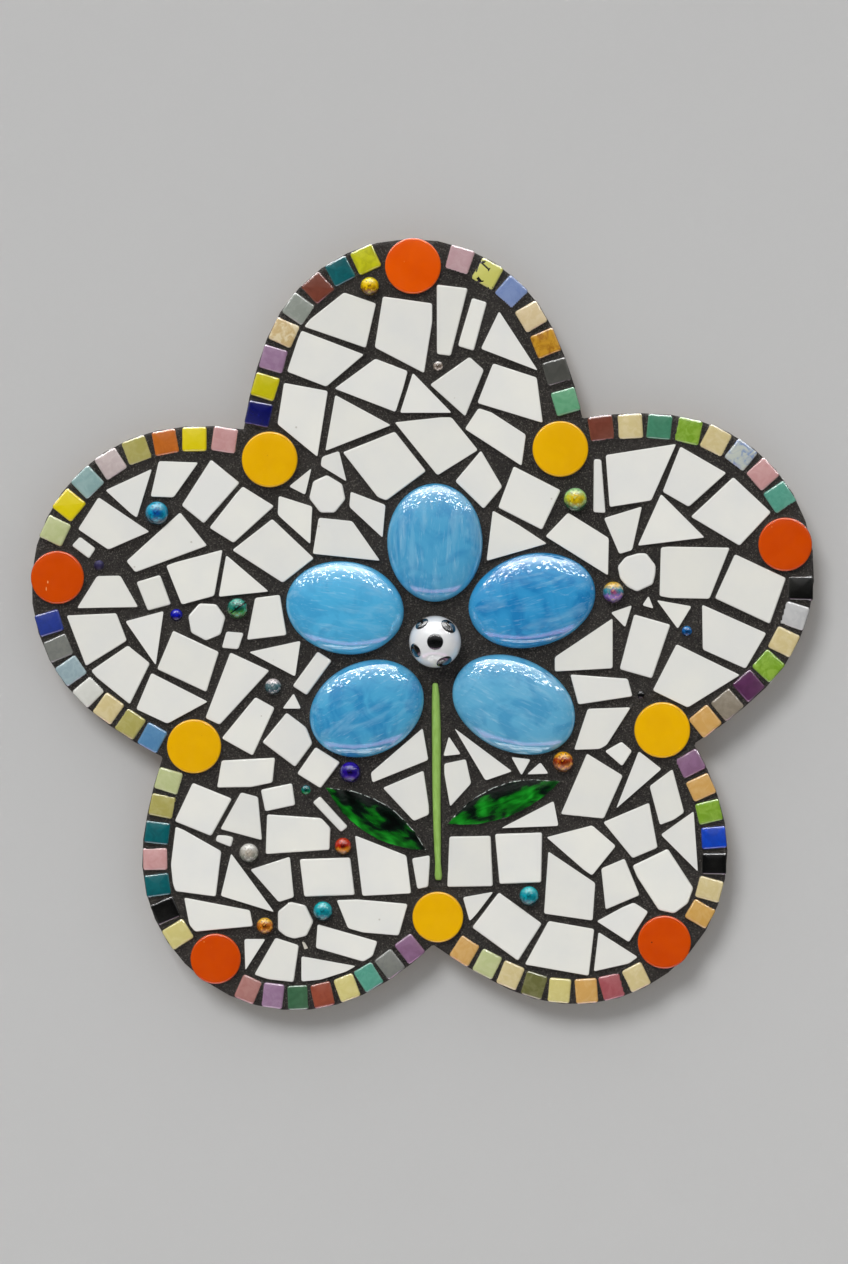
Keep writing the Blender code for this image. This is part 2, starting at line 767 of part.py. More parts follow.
# Every outline filled in one flat curve, thickened from base to top, as a mesh
def slab_mesh(name, outlines, base, top):
    curve = bpy.data.curves.new(name, "CURVE")
    curve.dimensions = "2D"
    curve.fill_mode = "BOTH"
    curve.extrude = (top - base) / 2
    for points in outlines:
        spline = curve.splines.new("POLY")
        spline.points.add(len(points) - 1)
        for corner, point in zip(spline.points, points):
            corner.co = (point.x, point.y, 0, 1)
        spline.use_cyclic_u = True
    drawn = bpy.data.objects.new(name, curve)
    bpy.context.scene.collection.objects.link(drawn)
    evaluated = drawn.evaluated_get(bpy.context.evaluated_depsgraph_get())
    mesh = bpy.data.meshes.new_from_object(evaluated)
    bpy.data.objects.remove(drawn)
    mesh.transform(Matrix.Translation((0, 0, (base + top) / 2)))
    solid = bmesh.new()
    solid.from_mesh(mesh)
    bmesh.ops.remove_doubles(solid, verts=solid.verts, dist=merge_distance)
    bmesh.ops.recalc_face_normals(solid, faces=solid.faces)
    solid.to_mesh(mesh)
    solid.free()
    return mesh


def cut_or_join(obj, other, operation):
    other.hide_render = True
    other.display_type = "WIRE"
    modifier = obj.modifiers.new(other.name, "BOOLEAN")
    modifier.operation = operation
    modifier.solver = "EXACT"
    modifier.object = other


def finished_mesh(solid, name, sharp_angle):
    mesh = bpy.data.meshes.new(name)
    solid.to_mesh(mesh)
    solid.free()
    mesh.shade_smooth()
    mesh.set_sharp_from_angle(angle=math.radians(sharp_angle))
    return mesh


# A ball stretched to its half sizes, with its underside ground flat at seat
def ground_ball_mesh(name, half_sizes, seat, sides, rings):
    solid = bmesh.new()
    bmesh.ops.create_uvsphere(solid, u_segments=sides, v_segments=rings, radius=1)
    bmesh.ops.scale(solid, vec=half_sizes, verts=solid.verts)
    if seat < half_sizes[2]:
        everything = solid.verts[:] + solid.edges[:] + solid.faces[:]
        cut = bmesh.ops.bisect_plane(
            solid, geom=everything, plane_co=(0, 0, -seat), plane_no=(0, 0, -1), clear_outer=True
        )
        rim = [part for part in cut["geom_cut"] if isinstance(part, bmesh.types.BMEdge)]
        bmesh.ops.contextual_create(solid, geom=rim)
    bmesh.ops.recalc_face_normals(solid, faces=solid.faces)
    return finished_mesh(solid, name, gem_sharp_angle)


def disc_mesh(name):
    solid = bmesh.new()
    radius = disc_radius * disc_share(name)
    bmesh.ops.create_cone(
        solid, cap_ends=True, segments=disc_sides, radius1=radius, radius2=radius, depth=disc_thickness,
    )
    rim = [edge for edge in solid.edges if all(vert.co.z > 0 for vert in edge.verts)]
    bmesh.ops.bevel(solid, geom=rim, offset=disc_rim_round, segments=1, affect="EDGES", profile=0.5)
    return finished_mesh(solid, name, disc_sharp_angle)


def stem_curve():
    curve = bpy.data.curves.new("stem_rod", "CURVE")
    curve.dimensions = "3D"
    curve.bevel_depth = stem_radius
    curve.bevel_resolution = stem_roundness
    curve.use_fill_caps = True
    spline = curve.splines.new("POLY")
    spline.points.add(len(stem) - 1)
    for point, (place, share) in zip(spline.points, stem):
        point.co = (*plan(place), 0, 1)
        point.radius = share
    return curve


def build_grout_and_tiles(parts, cutters, upright):
    slab = slab_mesh("grout_and_tiles", [outline()], bed, grout_top)
    grout = place_object("grout_and_tiles", slab, parts, upright, "grout")
    through = disc_thickness
    pockets = slab_mesh("pockets", pocket_outlines(), bed - through, tile_top + through)
    cut_or_join(grout, place_object("pockets", pockets, cutters, upright), "DIFFERENCE")
    tiles = slab_mesh("tiles", border_squares() + shard_outlines(), bed + tile_bedding, tile_top)
    cut_or_join(grout, place_object("tiles", tiles, cutters, upright), "UNION")


def build_discs(parts, upright):
    height = bed + disc_thickness / 2
    for name, centre in disc_centres().items():
        material = "orange_glaze" if name.startswith("orange") else "yellow_glaze"
        place_object(name, disc_mesh(name), parts, upright, material, (*centre, height))


def build_flower(parts, upright):
    for name, (x, y, length, width, turn) in petals.items():
        half_sizes = (length * mm / 2, width * mm / 2, gem_height - gem_waist)
        mesh = ground_ball_mesh("petal_gem", half_sizes, gem_waist, gem_sides, gem_rings)
        location = (*plan((x, y)), bed + gem_waist)
        place_object("petal_gem_" + name, mesh, parts, upright, "sky_glass", location, turn)
    half_sizes = (centre_bead_radius,) * 3
    seat = centre_bead_radius - centre_bead_seat
    mesh = ground_ball_mesh("centre_bead", half_sizes, seat, disc_sides, gem_rings)
    location = (*plan(centre_bead_place), bed + seat)
    place_object("centre_bead", mesh, parts, upright, "spotted_glass", location)


def build_stem_and_leaves(parts, upright):
    location = (0, 0, bed + stem_widest)
    place_object("stem_rod", stem_curve(), parts, upright, "stem_glass", location)
    for name, leaf in leaves.items():
        mesh = slab_mesh("leaf_" + name, [leaf_outline(leaf)], bed, bed + leaf_thickness)
        place_object("leaf_" + name, mesh, parts, upright, "leaf_glass")


def build_beads(parts, upright):
    for name, (place, diameter, glass) in bead_rows().items():
        radius = diameter / 2
        mesh = ground_ball_mesh(name, (radius,) * 3, radius, bead_sides, bead_rings)
        place_object(name, mesh, parts, upright, glass, (*place, bed + radius))


def build_panel():
    clear_scene()
    parts = new_collection("mosaic_panel")
    cutters = new_collection("cutters", hidden=True)
    upright = bpy.data.objects.new("upright", None)
    upright.rotation_euler = (math.radians(90), 0, 0)
    parts.objects.link(upright)
    board = slab_mesh("backing_board", [outline()], 0, board_thickness)
    place_object("backing_board", board, parts, upright, "board")
    build_grout_and_tiles(parts, cutters, upright)
    build_discs(parts, upright)
    build_flower(parts, upright)
    build_stem_and_leaves(parts, upright)
    build_beads(parts, upright)


build_panel()
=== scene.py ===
# Flower mosaic panel: board, grout, broken tile, border squares, discs, gems, stem, leaves
# and beads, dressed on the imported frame. Pieces are shaped lying flat (x right, y up the
# panel, z away from the wall) and are stood up when they are finished.
import math
import random

import bmesh
import bpy
import numpy as np
from mathutils import Matrix, Vector, noise


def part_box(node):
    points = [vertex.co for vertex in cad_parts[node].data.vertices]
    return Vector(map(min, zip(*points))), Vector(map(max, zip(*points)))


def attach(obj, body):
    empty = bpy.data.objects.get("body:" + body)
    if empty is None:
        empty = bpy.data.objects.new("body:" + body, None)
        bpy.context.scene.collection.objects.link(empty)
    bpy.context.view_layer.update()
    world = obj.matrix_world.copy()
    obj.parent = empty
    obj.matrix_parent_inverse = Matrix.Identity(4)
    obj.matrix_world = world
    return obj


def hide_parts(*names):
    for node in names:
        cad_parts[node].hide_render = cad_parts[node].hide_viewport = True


mm = 0.001
same = 0.01 * mm  # points closer than this count as one
flush = 0.05 * mm  # a face closer than this to a height counts as lying on it
far = 1.0  # farther than any two points of the panel
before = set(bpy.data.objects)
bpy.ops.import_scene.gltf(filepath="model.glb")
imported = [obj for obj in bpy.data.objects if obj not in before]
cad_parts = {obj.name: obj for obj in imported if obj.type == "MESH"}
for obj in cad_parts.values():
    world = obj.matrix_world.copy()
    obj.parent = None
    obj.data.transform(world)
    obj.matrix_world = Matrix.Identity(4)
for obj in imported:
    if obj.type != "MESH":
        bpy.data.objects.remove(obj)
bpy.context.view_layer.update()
scene = bpy.context.scene
print("frame loaded:", len(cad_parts), "nodes")


# Helpers for pieces

def about(letter, degrees):  # a turn about one axis
    return Matrix.Rotation(math.radians(degrees), 3, letter)


standUp = about("X", 90)
layDown = standUp.inverted()


def turned(bm, matrix, middle=(0, 0, 0)):
    bmesh.ops.rotate(bm, cent=middle, matrix=matrix, verts=bm.verts)


def moved(bm, way):
    bmesh.ops.translate(bm, vec=way, verts=bm.verts)


def meshFrom(bm, name):  # a mesh of a finished shape, which is then let go
    mesh = bpy.data.meshes.new(name)
    bm.to_mesh(mesh)
    bm.free()
    return mesh


def addTo(whole, bm):  # moves a finished small shape into a shared one
    passing = meshFrom(bm, "passing")
    whole.from_mesh(passing)
    bpy.data.meshes.remove(passing)


def flatCopy(node):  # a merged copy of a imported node, lying flat
    bm = bmesh.new()
    bm.from_mesh(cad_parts[node].data)
    bmesh.ops.remove_doubles(bm, verts=bm.verts, dist=same)
    turned(bm, layDown)
    return bm


def topOutlines(node):  # the flat outline of everything on a node's highest plane
    bm = flatCopy(node)
    top = max(v.co.z for v in bm.verts)
    lower = [f for f in bm.faces if min(v.co.z for v in f.verts) < top - flush]
    bmesh.ops.delete(bm, geom=lower, context="FACES")
    bmesh.ops.dissolve_limit(bm, angle_limit=math.radians(1), verts=bm.verts, edges=bm.edges)
    outlines = []
    for f in bm.faces:
        points = [v.co.xy.copy() for v in f.verts]
        outlines.append(points if f.normal.z > 0 else points[::-1])
    bm.free()
    return outlines, top


def flatBox(node):  # centre, half sizes, lowest and highest z of a node, lying flat
    low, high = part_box(node)
    centre = Vector(((low.x + high.x) / 2, (low.z + high.z) / 2))
    half = Vector(((high.x - low.x) / 2, (high.z - low.z) / 2))
    return centre, half, -high.y, -low.y


def slabFromOutline(points, base, top):
    bm = bmesh.new()
    cap = bm.faces.new([bm.verts.new((p.x, p.y, top)) for p in points])
    under = bmesh.ops.extrude_face_region(bm, geom=[cap])
    bmesh.ops.translate(bm, vec=(0, 0, base - top),
                        verts=[g for g in under["geom"] if isinstance(g, bmesh.types.BMVert)])
    if not any(f is cap for f in bm.faces):
        bmesh.ops.holes_fill(bm, edges=bm.edges)
    bmesh.ops.recalc_face_normals(bm, faces=bm.faces)
    return bm


def softenRim(bm, height, offset, segments):  # rounds every edge that lies at one height
    rim = [e for e in bm.edges
           if all(abs(v.co.z - height) < same for v in e.verts) and len(e.link_faces) == 2
           and abs(e.link_faces[0].normal.z - e.link_faces[1].normal.z) > 0.5]
    bmesh.ops.bevel(bm, geom=rim, offset=offset, segments=segments, affect="EDGES",
                    profile=0.5, material=-1, clamp_overlap=True)


def paint(bm, layerName, colour):  # one colour, or a share from 0 to 1 worked out at each corner
    layer = bm.loops.layers.float_color.get(layerName)
    if layer is None:
        layer = bm.loops.layers.float_color.new(layerName)
    for f in bm.faces:
        for corner in f.loops:
            if callable(colour):
                share = min(1.0, max(0.0, colour(corner.vert.co)))
                corner[layer] = (share, share, share, 1)
            else:
                corner[layer] = linear(colour)


def rimShare(bm, height, reach):  # 0 on the flat top, 1 down on the rounded rim
    paint(bm, "rim", lambda place: (height - place.z) / reach)


def finishPiece(bm, name, material, nodes=(), sharp=45):
    turned(bm, standUp)
    mesh = meshFrom(bm, name)
    mesh.shade_smooth()
    mesh.set_sharp_from_angle(angle=math.radians(sharp))
    mesh.materials.append(material)
    piece = bpy.data.objects.new(name, mesh)
    scene.collection.objects.link(piece)
    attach(piece, "root")
    if nodes:
        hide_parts(*nodes)
    return piece


# Helpers for materials

def linear(code):  # a web colour as linear light, and anything else as it is
    if not isinstance(code, str):
        return code
    parts = [int(code[i:i + 2], 16) / 255 for i in (1, 3, 5)]
    return tuple(p / 12.92 if p <= 0.04045 else ((p + 0.055) / 1.055) ** 2.4 for p in parts) + (1,)


class Nodes:  # short calls to add and join the nodes of one tree
    def __init__(self, tree):
        self.tree = tree

    def plug(self, socket, value):  # joins a socket to another, or gives it a value or web colour
        if isinstance(value, bpy.types.NodeSocket):
            self.tree.links.new(value, socket)
        else:
            socket.default_value = linear(value)

    def add(self, kind, settings=None, **sockets):
        node = self.tree.nodes.new("ShaderNode" + kind)
        for key, value in (settings or {}).items():
            setattr(node, key, value)
        for key, value in sockets.items():
            self.plug(node.inputs[key.replace("_", " ")], value)
        return node

    def place(self, attribute=None):
        if attribute:
            return self.painted(attribute, "Vector")
        return self.add("TexCoord").outputs["Object"]

    def painted(self, layerName, output="Color"):
        return self.add("Attribute", {"attribute_name": layerName}).outputs[output]

    def axis(self, vector, letter):
        return self.add("SeparateXYZ", Vector=vector).outputs[letter]

    def grain(self, where, scale, detail=2.0, roughness=0.5, distortion=0.0):
        return self.add("TexNoise", Vector=where, Scale=scale, Detail=detail,
                        Roughness=roughness, Distortion=distortion).outputs["Fac"]

    def cells(self, where, scale, **settings):
        return self.add("TexVoronoi", settings, Vector=where, Scale=scale, Randomness=1.0)

    def stretched(self, where, scale, turn=(0, 0, 0)):
        return self.add("Mapping", Vector=where, Scale=scale, Rotation=turn).outputs["Vector"]

    def length(self, vector):
        node = self.add("VectorMath", {"operation": "LENGTH"})
        self.plug(node.inputs[0], vector)
        return node.outputs["Value"]

    def ramp(self, share, stops):
        node = self.add("ValToRGB", Fac=share)
        elements = node.color_ramp.elements
        for element, (position, colour) in zip(elements, (stops[0], stops[-1])):
            element.position, element.color = position, linear(colour)
        for position, colour in stops[1:-1]:
            elements.new(position).color = linear(colour)
        return node.outputs["Color"]

    def span(self, value, low, high, newLow=0.0, newHigh=1.0):
        return self.add("MapRange", Value=value, From_Min=low, From_Max=high,
                        To_Min=newLow, To_Max=newHigh).outputs["Result"]

    def mix(self, share, first, second, how="MIX"):
        node = self.add("Mix", {"data_type": "RGBA", "blend_type": how})
        for index, value in ((0, share), (6, first), (7, second)):
            self.plug(node.inputs[index], value)
        return node.outputs[2]

    def maths(self, how, first, second=0.0):
        node = self.add("Math", {"operation": how})
        for socket, value in zip(node.inputs, (first, second)):
            self.plug(socket, value)
        return node.outputs[0]

    def either(self, share, first, second):  # the first shader at 0, the second at 1
        node = self.add("MixShader", Fac=share)
        self.plug(node.inputs[1], first.outputs[0])
        self.plug(node.inputs[2], second.outputs[0])
        return node


class Recipe(Nodes):  # one material
    def __init__(self, name, **fixed):
        self.material = bpy.data.materials.new(name)
        self.material.use_nodes = True
        super().__init__(self.material.node_tree)
        self.shader = self.tree.nodes["Principled BSDF"]
        self.set(**fixed)

    def set(self, **sockets):
        for key, value in sockets.items():
            self.plug(self.shader.inputs[key.replace("_", " ")], value)

    def bump(self, height, distance, strength=1.0):
        node = self.add("Bump", Height=height, Distance=distance, Strength=strength)
        self.plug(self.shader.inputs["Normal"], node.outputs["Normal"])


# Camera, wall, floor and light

studio = {  # lengths in metres, the sensor in millimetres, the spread in degrees
    "photoSize": (848, 1264), "pixelsPerMetre": 2613.3, "pixelOfOrigin": (423.0, 649.0),
    "distance": 2.2, "tileFace": 0.0163, "sensor": 36, "clip": (0.1, 50),
    "sheetHalf": 2, "wallGap": 0.0006, "floorBelow": 0.32, "wallColour": "#bcbcbc", "floorColour": "#cfcecb",
    "keyPower": 1.68, "keyPlace": (-0.36, -1.0, 0.62), "keySpread": 22,
}
sky = {  # the ramps go from straight down at 0 to straight up at 1
    "seen": "#bcbcbc", "mattStrength": 0.4, "glossStrength": 1.0,
    "matt": ((0.0, 0.5), (0.5, 0.95), (1.0, 1.9)),
    "gloss": (
        (0.000, 0.30), (0.010, 4.0), (0.020, 0.30), (0.034, 4.4), (0.048, 0.25), (0.066, 0.25),
        (0.084, (2.0, 0.9, 1.5)), (0.122, (1.7, 1.2, 1.9)), (0.150, 0.16), (0.20, 0.12), (0.400, 0.03),
        (0.54, 0.02), (0.640, 0.22), (0.780, 0.60), (0.900, 1.7), (0.960, 5.5),
    ),
    "waver": 0.04, "waverScale": 6.0,
    "lampScale": 12.0, "lampSize": 0.26, "lampLevel": 26.0, "lampsFrom": 0.5, "lampsTo": 0.985,
    "clusterScale": 2.2, "clusterFrom": 0.4,
}


def buildCamera():
    scale = studio["pixelsPerMetre"]
    wide, high = (side / scale for side in studio["photoSize"])
    left, down = (side / scale for side in studio["pixelOfOrigin"])
    camera = bpy.data.objects.new("camera", bpy.data.cameras.new("camera"))
    scene.collection.objects.link(camera)
    camera.location = (wide / 2 - left, -studio["tileFace"] - studio["distance"], down - high / 2)
    camera.rotation_euler = (math.radians(90), 0, 0)
    camera.data.sensor_width = studio["sensor"]
    camera.data.lens = studio["sensor"] * studio["distance"] / high
    camera.data.clip_start, camera.data.clip_end = studio["clip"]
    scene.camera = camera


def buildStage():  # both sheets are seen from the front only, and cast and reflect nothing
    half, below = studio["sheetHalf"], studio["floorBelow"]
    for name, centre, turn in (
        ("wall", (0, studio["wallGap"], half - below), 90),
        ("floor", (0, -half, -below), 0),
    ):
        bm = bmesh.new()
        bmesh.ops.create_grid(bm, x_segments=1, y_segments=1, size=half)
        turned(bm, about("X", turn))
        moved(bm, centre)
        mesh = meshFrom(bm, name)
        recipe = Recipe(name, Base_Color=studio[name + "Colour"], Roughness=0.9)
        behind = recipe.add("NewGeometry").outputs["Backfacing"]
        shown = recipe.either(behind, recipe.shader, recipe.add("BsdfTransparent"))
        recipe.plug(recipe.tree.nodes["Material Output"].inputs["Surface"], shown.outputs[0])
        mesh.materials.append(recipe.material)
        sheet = bpy.data.objects.new(name, mesh)
        sheet.visible_shadow = False
        sheet.visible_glossy = False
        sheet.visible_diffuse = name != "wall"
        scene.collection.objects.link(sheet)


def buildLight():
    lamp = bpy.data.lights.new("key", "SUN")
    lamp.angle, lamp.energy = math.radians(studio["keySpread"]), studio["keyPower"]
    key = bpy.data.objects.new("key", lamp)
    key.location = studio["keyPlace"]
    key.rotation_euler = Vector(key.location).to_track_quat("Z", "Y").to_euler()
    key.visible_glossy = False
    scene.collection.objects.link(key)


def buildSky():  # plain grey to the eye, soft on matt things, a room with small lamps in reflections
    world = bpy.data.worlds.new("studio")
    scene.world = world
    world.use_nodes = True
    kit = Nodes(world.node_tree)
    kit.tree.nodes.clear()
    way = kit.add("TexCoord").outputs["Generated"]
    height = kit.axis(way, "Z")
    waver = kit.maths("MULTIPLY", kit.grain(way, sky["waverScale"], 3.0, 0.6), sky["waver"])
    share = kit.maths("ADD", kit.maths("MULTIPLY", height, 0.5), waver)
    share = kit.maths("ADD", share, 0.5 - sky["waver"] / 2)

    def band(name):
        return kit.ramp(share, [(position, (*(level if isinstance(level, tuple) else (level,) * 3), 1))
                                for position, level in sky[name]])

    dots = kit.cells(way, sky["lampScale"]).outputs["Distance"]
    clusters = kit.grain(way, sky["clusterScale"])
    lamps = sky["lampLevel"]
    for test, value, limit in (
        ("LESS_THAN", dots, sky["lampSize"]), ("GREATER_THAN", height, sky["lampsFrom"]),
        ("LESS_THAN", height, sky["lampsTo"]), ("GREATER_THAN", clusters, sky["clusterFrom"]),
    ):
        lamps = kit.maths("MULTIPLY", kit.maths(test, value, limit), lamps)
    room = kit.mix(1.0, band("gloss"), lamps, "ADD")
    matt = kit.add("Background", Color=band("matt"), Strength=sky["mattStrength"])
    shiny = kit.add("Background", Color=room, Strength=sky["glossStrength"])
    plain = kit.add("Background", Color=sky["seen"], Strength=1.0)
    rays = kit.add("LightPath")
    lights = kit.either(rays.outputs["Is Glossy Ray"], matt, shiny)
    seen = kit.either(rays.outputs["Is Camera Ray"], lights, plain)
    kit.plug(kit.add("OutputWorld").inputs["Surface"], seen.outputs[0])


buildCamera()
buildStage()
buildLight()
buildSky()
scene.view_settings.view_transform = "Standard"
print("camera, stage and light ready")


# Backing board: sawn fibreboard whose sides were wiped with grout

board = {
    "edgeRound": 0.7 * mm, "edgeSteps": 2, "ragged": 2.2 * mm, "smearTo": -6.5 * mm, "smearFrom": -5.5 * mm,
    "colour": "#a98d6b", "fibre": "#8c7152", "cloud": "#7b6348", "fleck": "#5d4a34", "grout": "#44413d",
}


def boardMaterial():
    recipe = Recipe("sawn_board", Roughness=0.82)
    where = recipe.place()
    fibres = recipe.grain(recipe.stretched(where, (1, 4, 3.2)), 520, 6, 0.8)
    wood = recipe.mix(recipe.span(fibres, 0.35, 0.65), board["colour"], board["fibre"])
    cloud = recipe.span(recipe.grain(where, 25, 3), 0.35, 0.7, 0, 0.25)
    wood = recipe.mix(cloud, wood, board["cloud"])
    flecks = recipe.cells(recipe.stretched(where, (1, 1, 2.5)), 330.0).outputs["Distance"]
    wood = recipe.mix(recipe.span(flecks, 0.12, 0.26, 0.6, 0), wood, board["fleck"])
    ragged = recipe.span(recipe.grain(where, 160, 4), 0, 1, -board["ragged"], board["ragged"])
    depth = recipe.maths("ADD", recipe.axis(where, "Y"), ragged)
    smeared = recipe.span(depth, board["smearTo"], board["smearFrom"], 1, 0)
    recipe.set(Base_Color=recipe.mix(smeared, wood, board["grout"]))
    recipe.bump(recipe.mix(smeared, fibres, recipe.grain(where, 1400, 3, 0.7)), 0.15 * mm, 0.6)
    return recipe.material


def buildBoard():
    outline, top = topOutlines("backing_board")
    bm = slabFromOutline(outline[0], 0, top)
    softenRim(bm, 0, board["edgeRound"], board["edgeSteps"])
    finishPiece(bm, "board_panel", boardMaterial(), ["backing_board"], sharp=35)
    return outline[0]


boardOutline = buildBoard()
print("board built")


# Tiles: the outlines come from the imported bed, the glaze and rounding from here

bed = {"groutThick": 2.7 * mm, "underTiles": 0.4 * mm, "borderReach": 7 * mm}
tileOutlines, tileTop = topOutlines("grout_and_tiles")
bedBase = flatBox("grout_and_tiles")[2]
groutTop = bedBase + bed["groutThick"]
tileBase = bedBase + bed["underTiles"]
print(len(tileOutlines), "tile outlines")


def edgeDistance(points, outline):  # distance from many points to an outline, and whether inside
    nearest = np.full(len(points), far)
    toEdge = np.zeros((len(points), 2))
    inside = np.zeros(len(points), bool)
    for i in range(len(outline)):
        a, b = np.array(outline[i - 1]), np.array(outline[i])
        along = b - a
        share = np.clip(((points - a) @ along) / (along @ along), 0, 1)
        foot = a + share[:, None] * along
        away = np.hypot(*(points - foot).T)
        closer = away < nearest
        nearest[closer] = away[closer]
        toEdge[closer] = foot[closer]
        crosses = (a[1] > points[:, 1]) != (b[1] > points[:, 1])
        if along[1] != 0:
            at = a[0] + along[0] * (points[:, 1] - a[1]) / along[1]
            inside ^= crosses & (points[:, 0] < at)
    return nearest, toEdge, inside


def middleOf(outline):  # the mean of an outline's corners
    return sum(outline, Vector((0, 0))) / len(outline)


middles = np.array([middleOf(o) for o in tileOutlines])
squareOutlines, shardOutlines = [], []
for tileOutline, fromEdge in zip(tileOutlines, edgeDistance(middles, boardOutline)[0]):
    isSquare = fromEdge < bed["borderReach"] and len(tileOutline) == 4
    (squareOutlines if isSquare else shardOutlines).append(tileOutline)
print(len(squareOutlines), "squares,", len(shardOutlines), "shards")


def tileSolid(outline, shape, rng):  # a tile with rounded corners and rim, set a little askew
    middle = middleOf(outline)
    points = [middle + (p - middle) * (1 + rng.uniform(-1, 1) * shape["sizeSpread"]) for p in outline]
    bm = bmesh.new()
    bm.faces.new([bm.verts.new((p.x, p.y, tileBase)) for p in points])
    shortest = min(e.calc_length() for e in bm.edges)
    bmesh.ops.bevel(bm, geom=bm.verts[:], offset=min(shape["corner"], shortest * 0.4), offset_type="OFFSET",
                    segments=shape["cornerSteps"], affect="VERTICES", profile=0.5, material=-1)
    sides = bmesh.ops.extrude_face_region(bm, geom=bm.faces[:])
    lifted = [g for g in sides["geom"] if isinstance(g, bmesh.types.BMVert)]
    bmesh.ops.translate(bm, vec=(0, 0, tileTop - tileBase), verts=lifted)
    bmesh.ops.recalc_face_normals(bm, faces=bm.faces)
    softenRim(bm, tileTop, shape["rimRound"], shape["rimSteps"])
    if shape["crownRise"]:
        crown = [f for f in bm.faces if f.normal.z > 0.99 and f.calc_center_median().z > tileTop - flush]
        bmesh.ops.poke(bm, faces=crown, offset=shape["crownRise"])
    tilt = Vector((rng.gauss(0, 1), rng.gauss(0, 1), 0)) * math.radians(shape["tilt"])
    spin = about("Z", rng.gauss(0, shape["spin"]))
    turned(bm, Matrix.Rotation(tilt.length, 3, tilt.normalized()) @ spin, (middle.x, middle.y, tileTop))
    moved(bm, (0, 0, rng.uniform(-1, 0.4) * shape["sink"]))
    return bm


# Broken white tile

shard = {
    "corner": 0.8 * mm, "cornerSteps": 3, "rimRound": 0.8 * mm, "rimSteps": 3, "crownRise": 0.0,
    "sizeSpread": 0.0, "tilt": 0.35, "spin": 0.0, "sink": 0.12 * mm,
    "glaze": "#e9e8e2", "glazeCool": "#e3e3e0", "biscuit": "#b9b2a4", "pit": "#a59d8f",
    "bareFrom": 0.5 * mm, "bareTo": 0.9 * mm, "levels": (0.93, 1.0), "warmth": (0.985, 1.0), "seed": 4,
    "chip": ((-46.4, -112.0), (-45.4, -112.2), (-43.9, -114.6), (-45.4, -115.0)), "chipSink": 0.7 * mm,
    "chipTone": (0.95, 0.95, 0.95, 1),
}


def whiteGlaze():  # the biscuit shows on the sides, below the glaze
    recipe = Recipe("white_glaze", Roughness=0.12, IOR=1.52, Coat_Weight=0.5, Coat_Roughness=0.03)
    where = recipe.place()
    cloud = recipe.grain(where, 55, 3)
    glaze = recipe.mix(recipe.span(cloud, 0.35, 0.65), shard["glaze"], shard["glazeCool"])
    glaze = recipe.mix(1.0, glaze, recipe.painted("tone"), "MULTIPLY")
    pits = recipe.maths("LESS_THAN", recipe.cells(where, 110.0).outputs["Distance"], 0.045)
    pits = recipe.maths("MULTIPLY", pits, recipe.span(cloud, 0.55, 0.56))
    glaze = recipe.mix(recipe.maths("MULTIPLY", pits, 0.5), glaze, shard["pit"])
    bare = recipe.span(recipe.axis(where, "Y"), shard["bareFrom"] - tileTop, shard["bareTo"] - tileTop)
    recipe.set(Base_Color=recipe.mix(bare, glaze, shard["biscuit"]))
    rough = recipe.maths("ADD", bare, recipe.span(cloud, 0.3, 0.7, 0, 0.1))
    recipe.set(Roughness=recipe.span(rough, 0, 1, 0.1, 0.6))
    recipe.bump(recipe.grain(where, 130, 2, 0.4), 0.25 * mm, 0.25)
    return recipe.material


def buildShards():
    rng = random.Random(shard["seed"])
    whole = bmesh.new()
    for outline in shardOutlines:
        bm = tileSolid(outline, shard, rng)
        level = rng.uniform(*shard["levels"])
        paint(bm, "tone", (level, level, level * rng.uniform(*shard["warmth"]), 1))
        addTo(whole, bm)
    chip = tileSolid([Vector(corner) * mm for corner in shard["chip"]], shard, rng)
    moved(chip, (0, 0, -shard["chipSink"]))
    paint(chip, "tone", shard["chipTone"])
    addTo(whole, chip)
    piece = finishPiece(whole, "broken_white_tile", whiteGlaze())
    flatten = piece.modifiers.new("flat_tops", "WEIGHTED_NORMAL")
    flatten.keep_sharp = True


buildShards()
print("broken tile built")


# Border squares, anticlockwise from the notch at each lobe's first side to its last

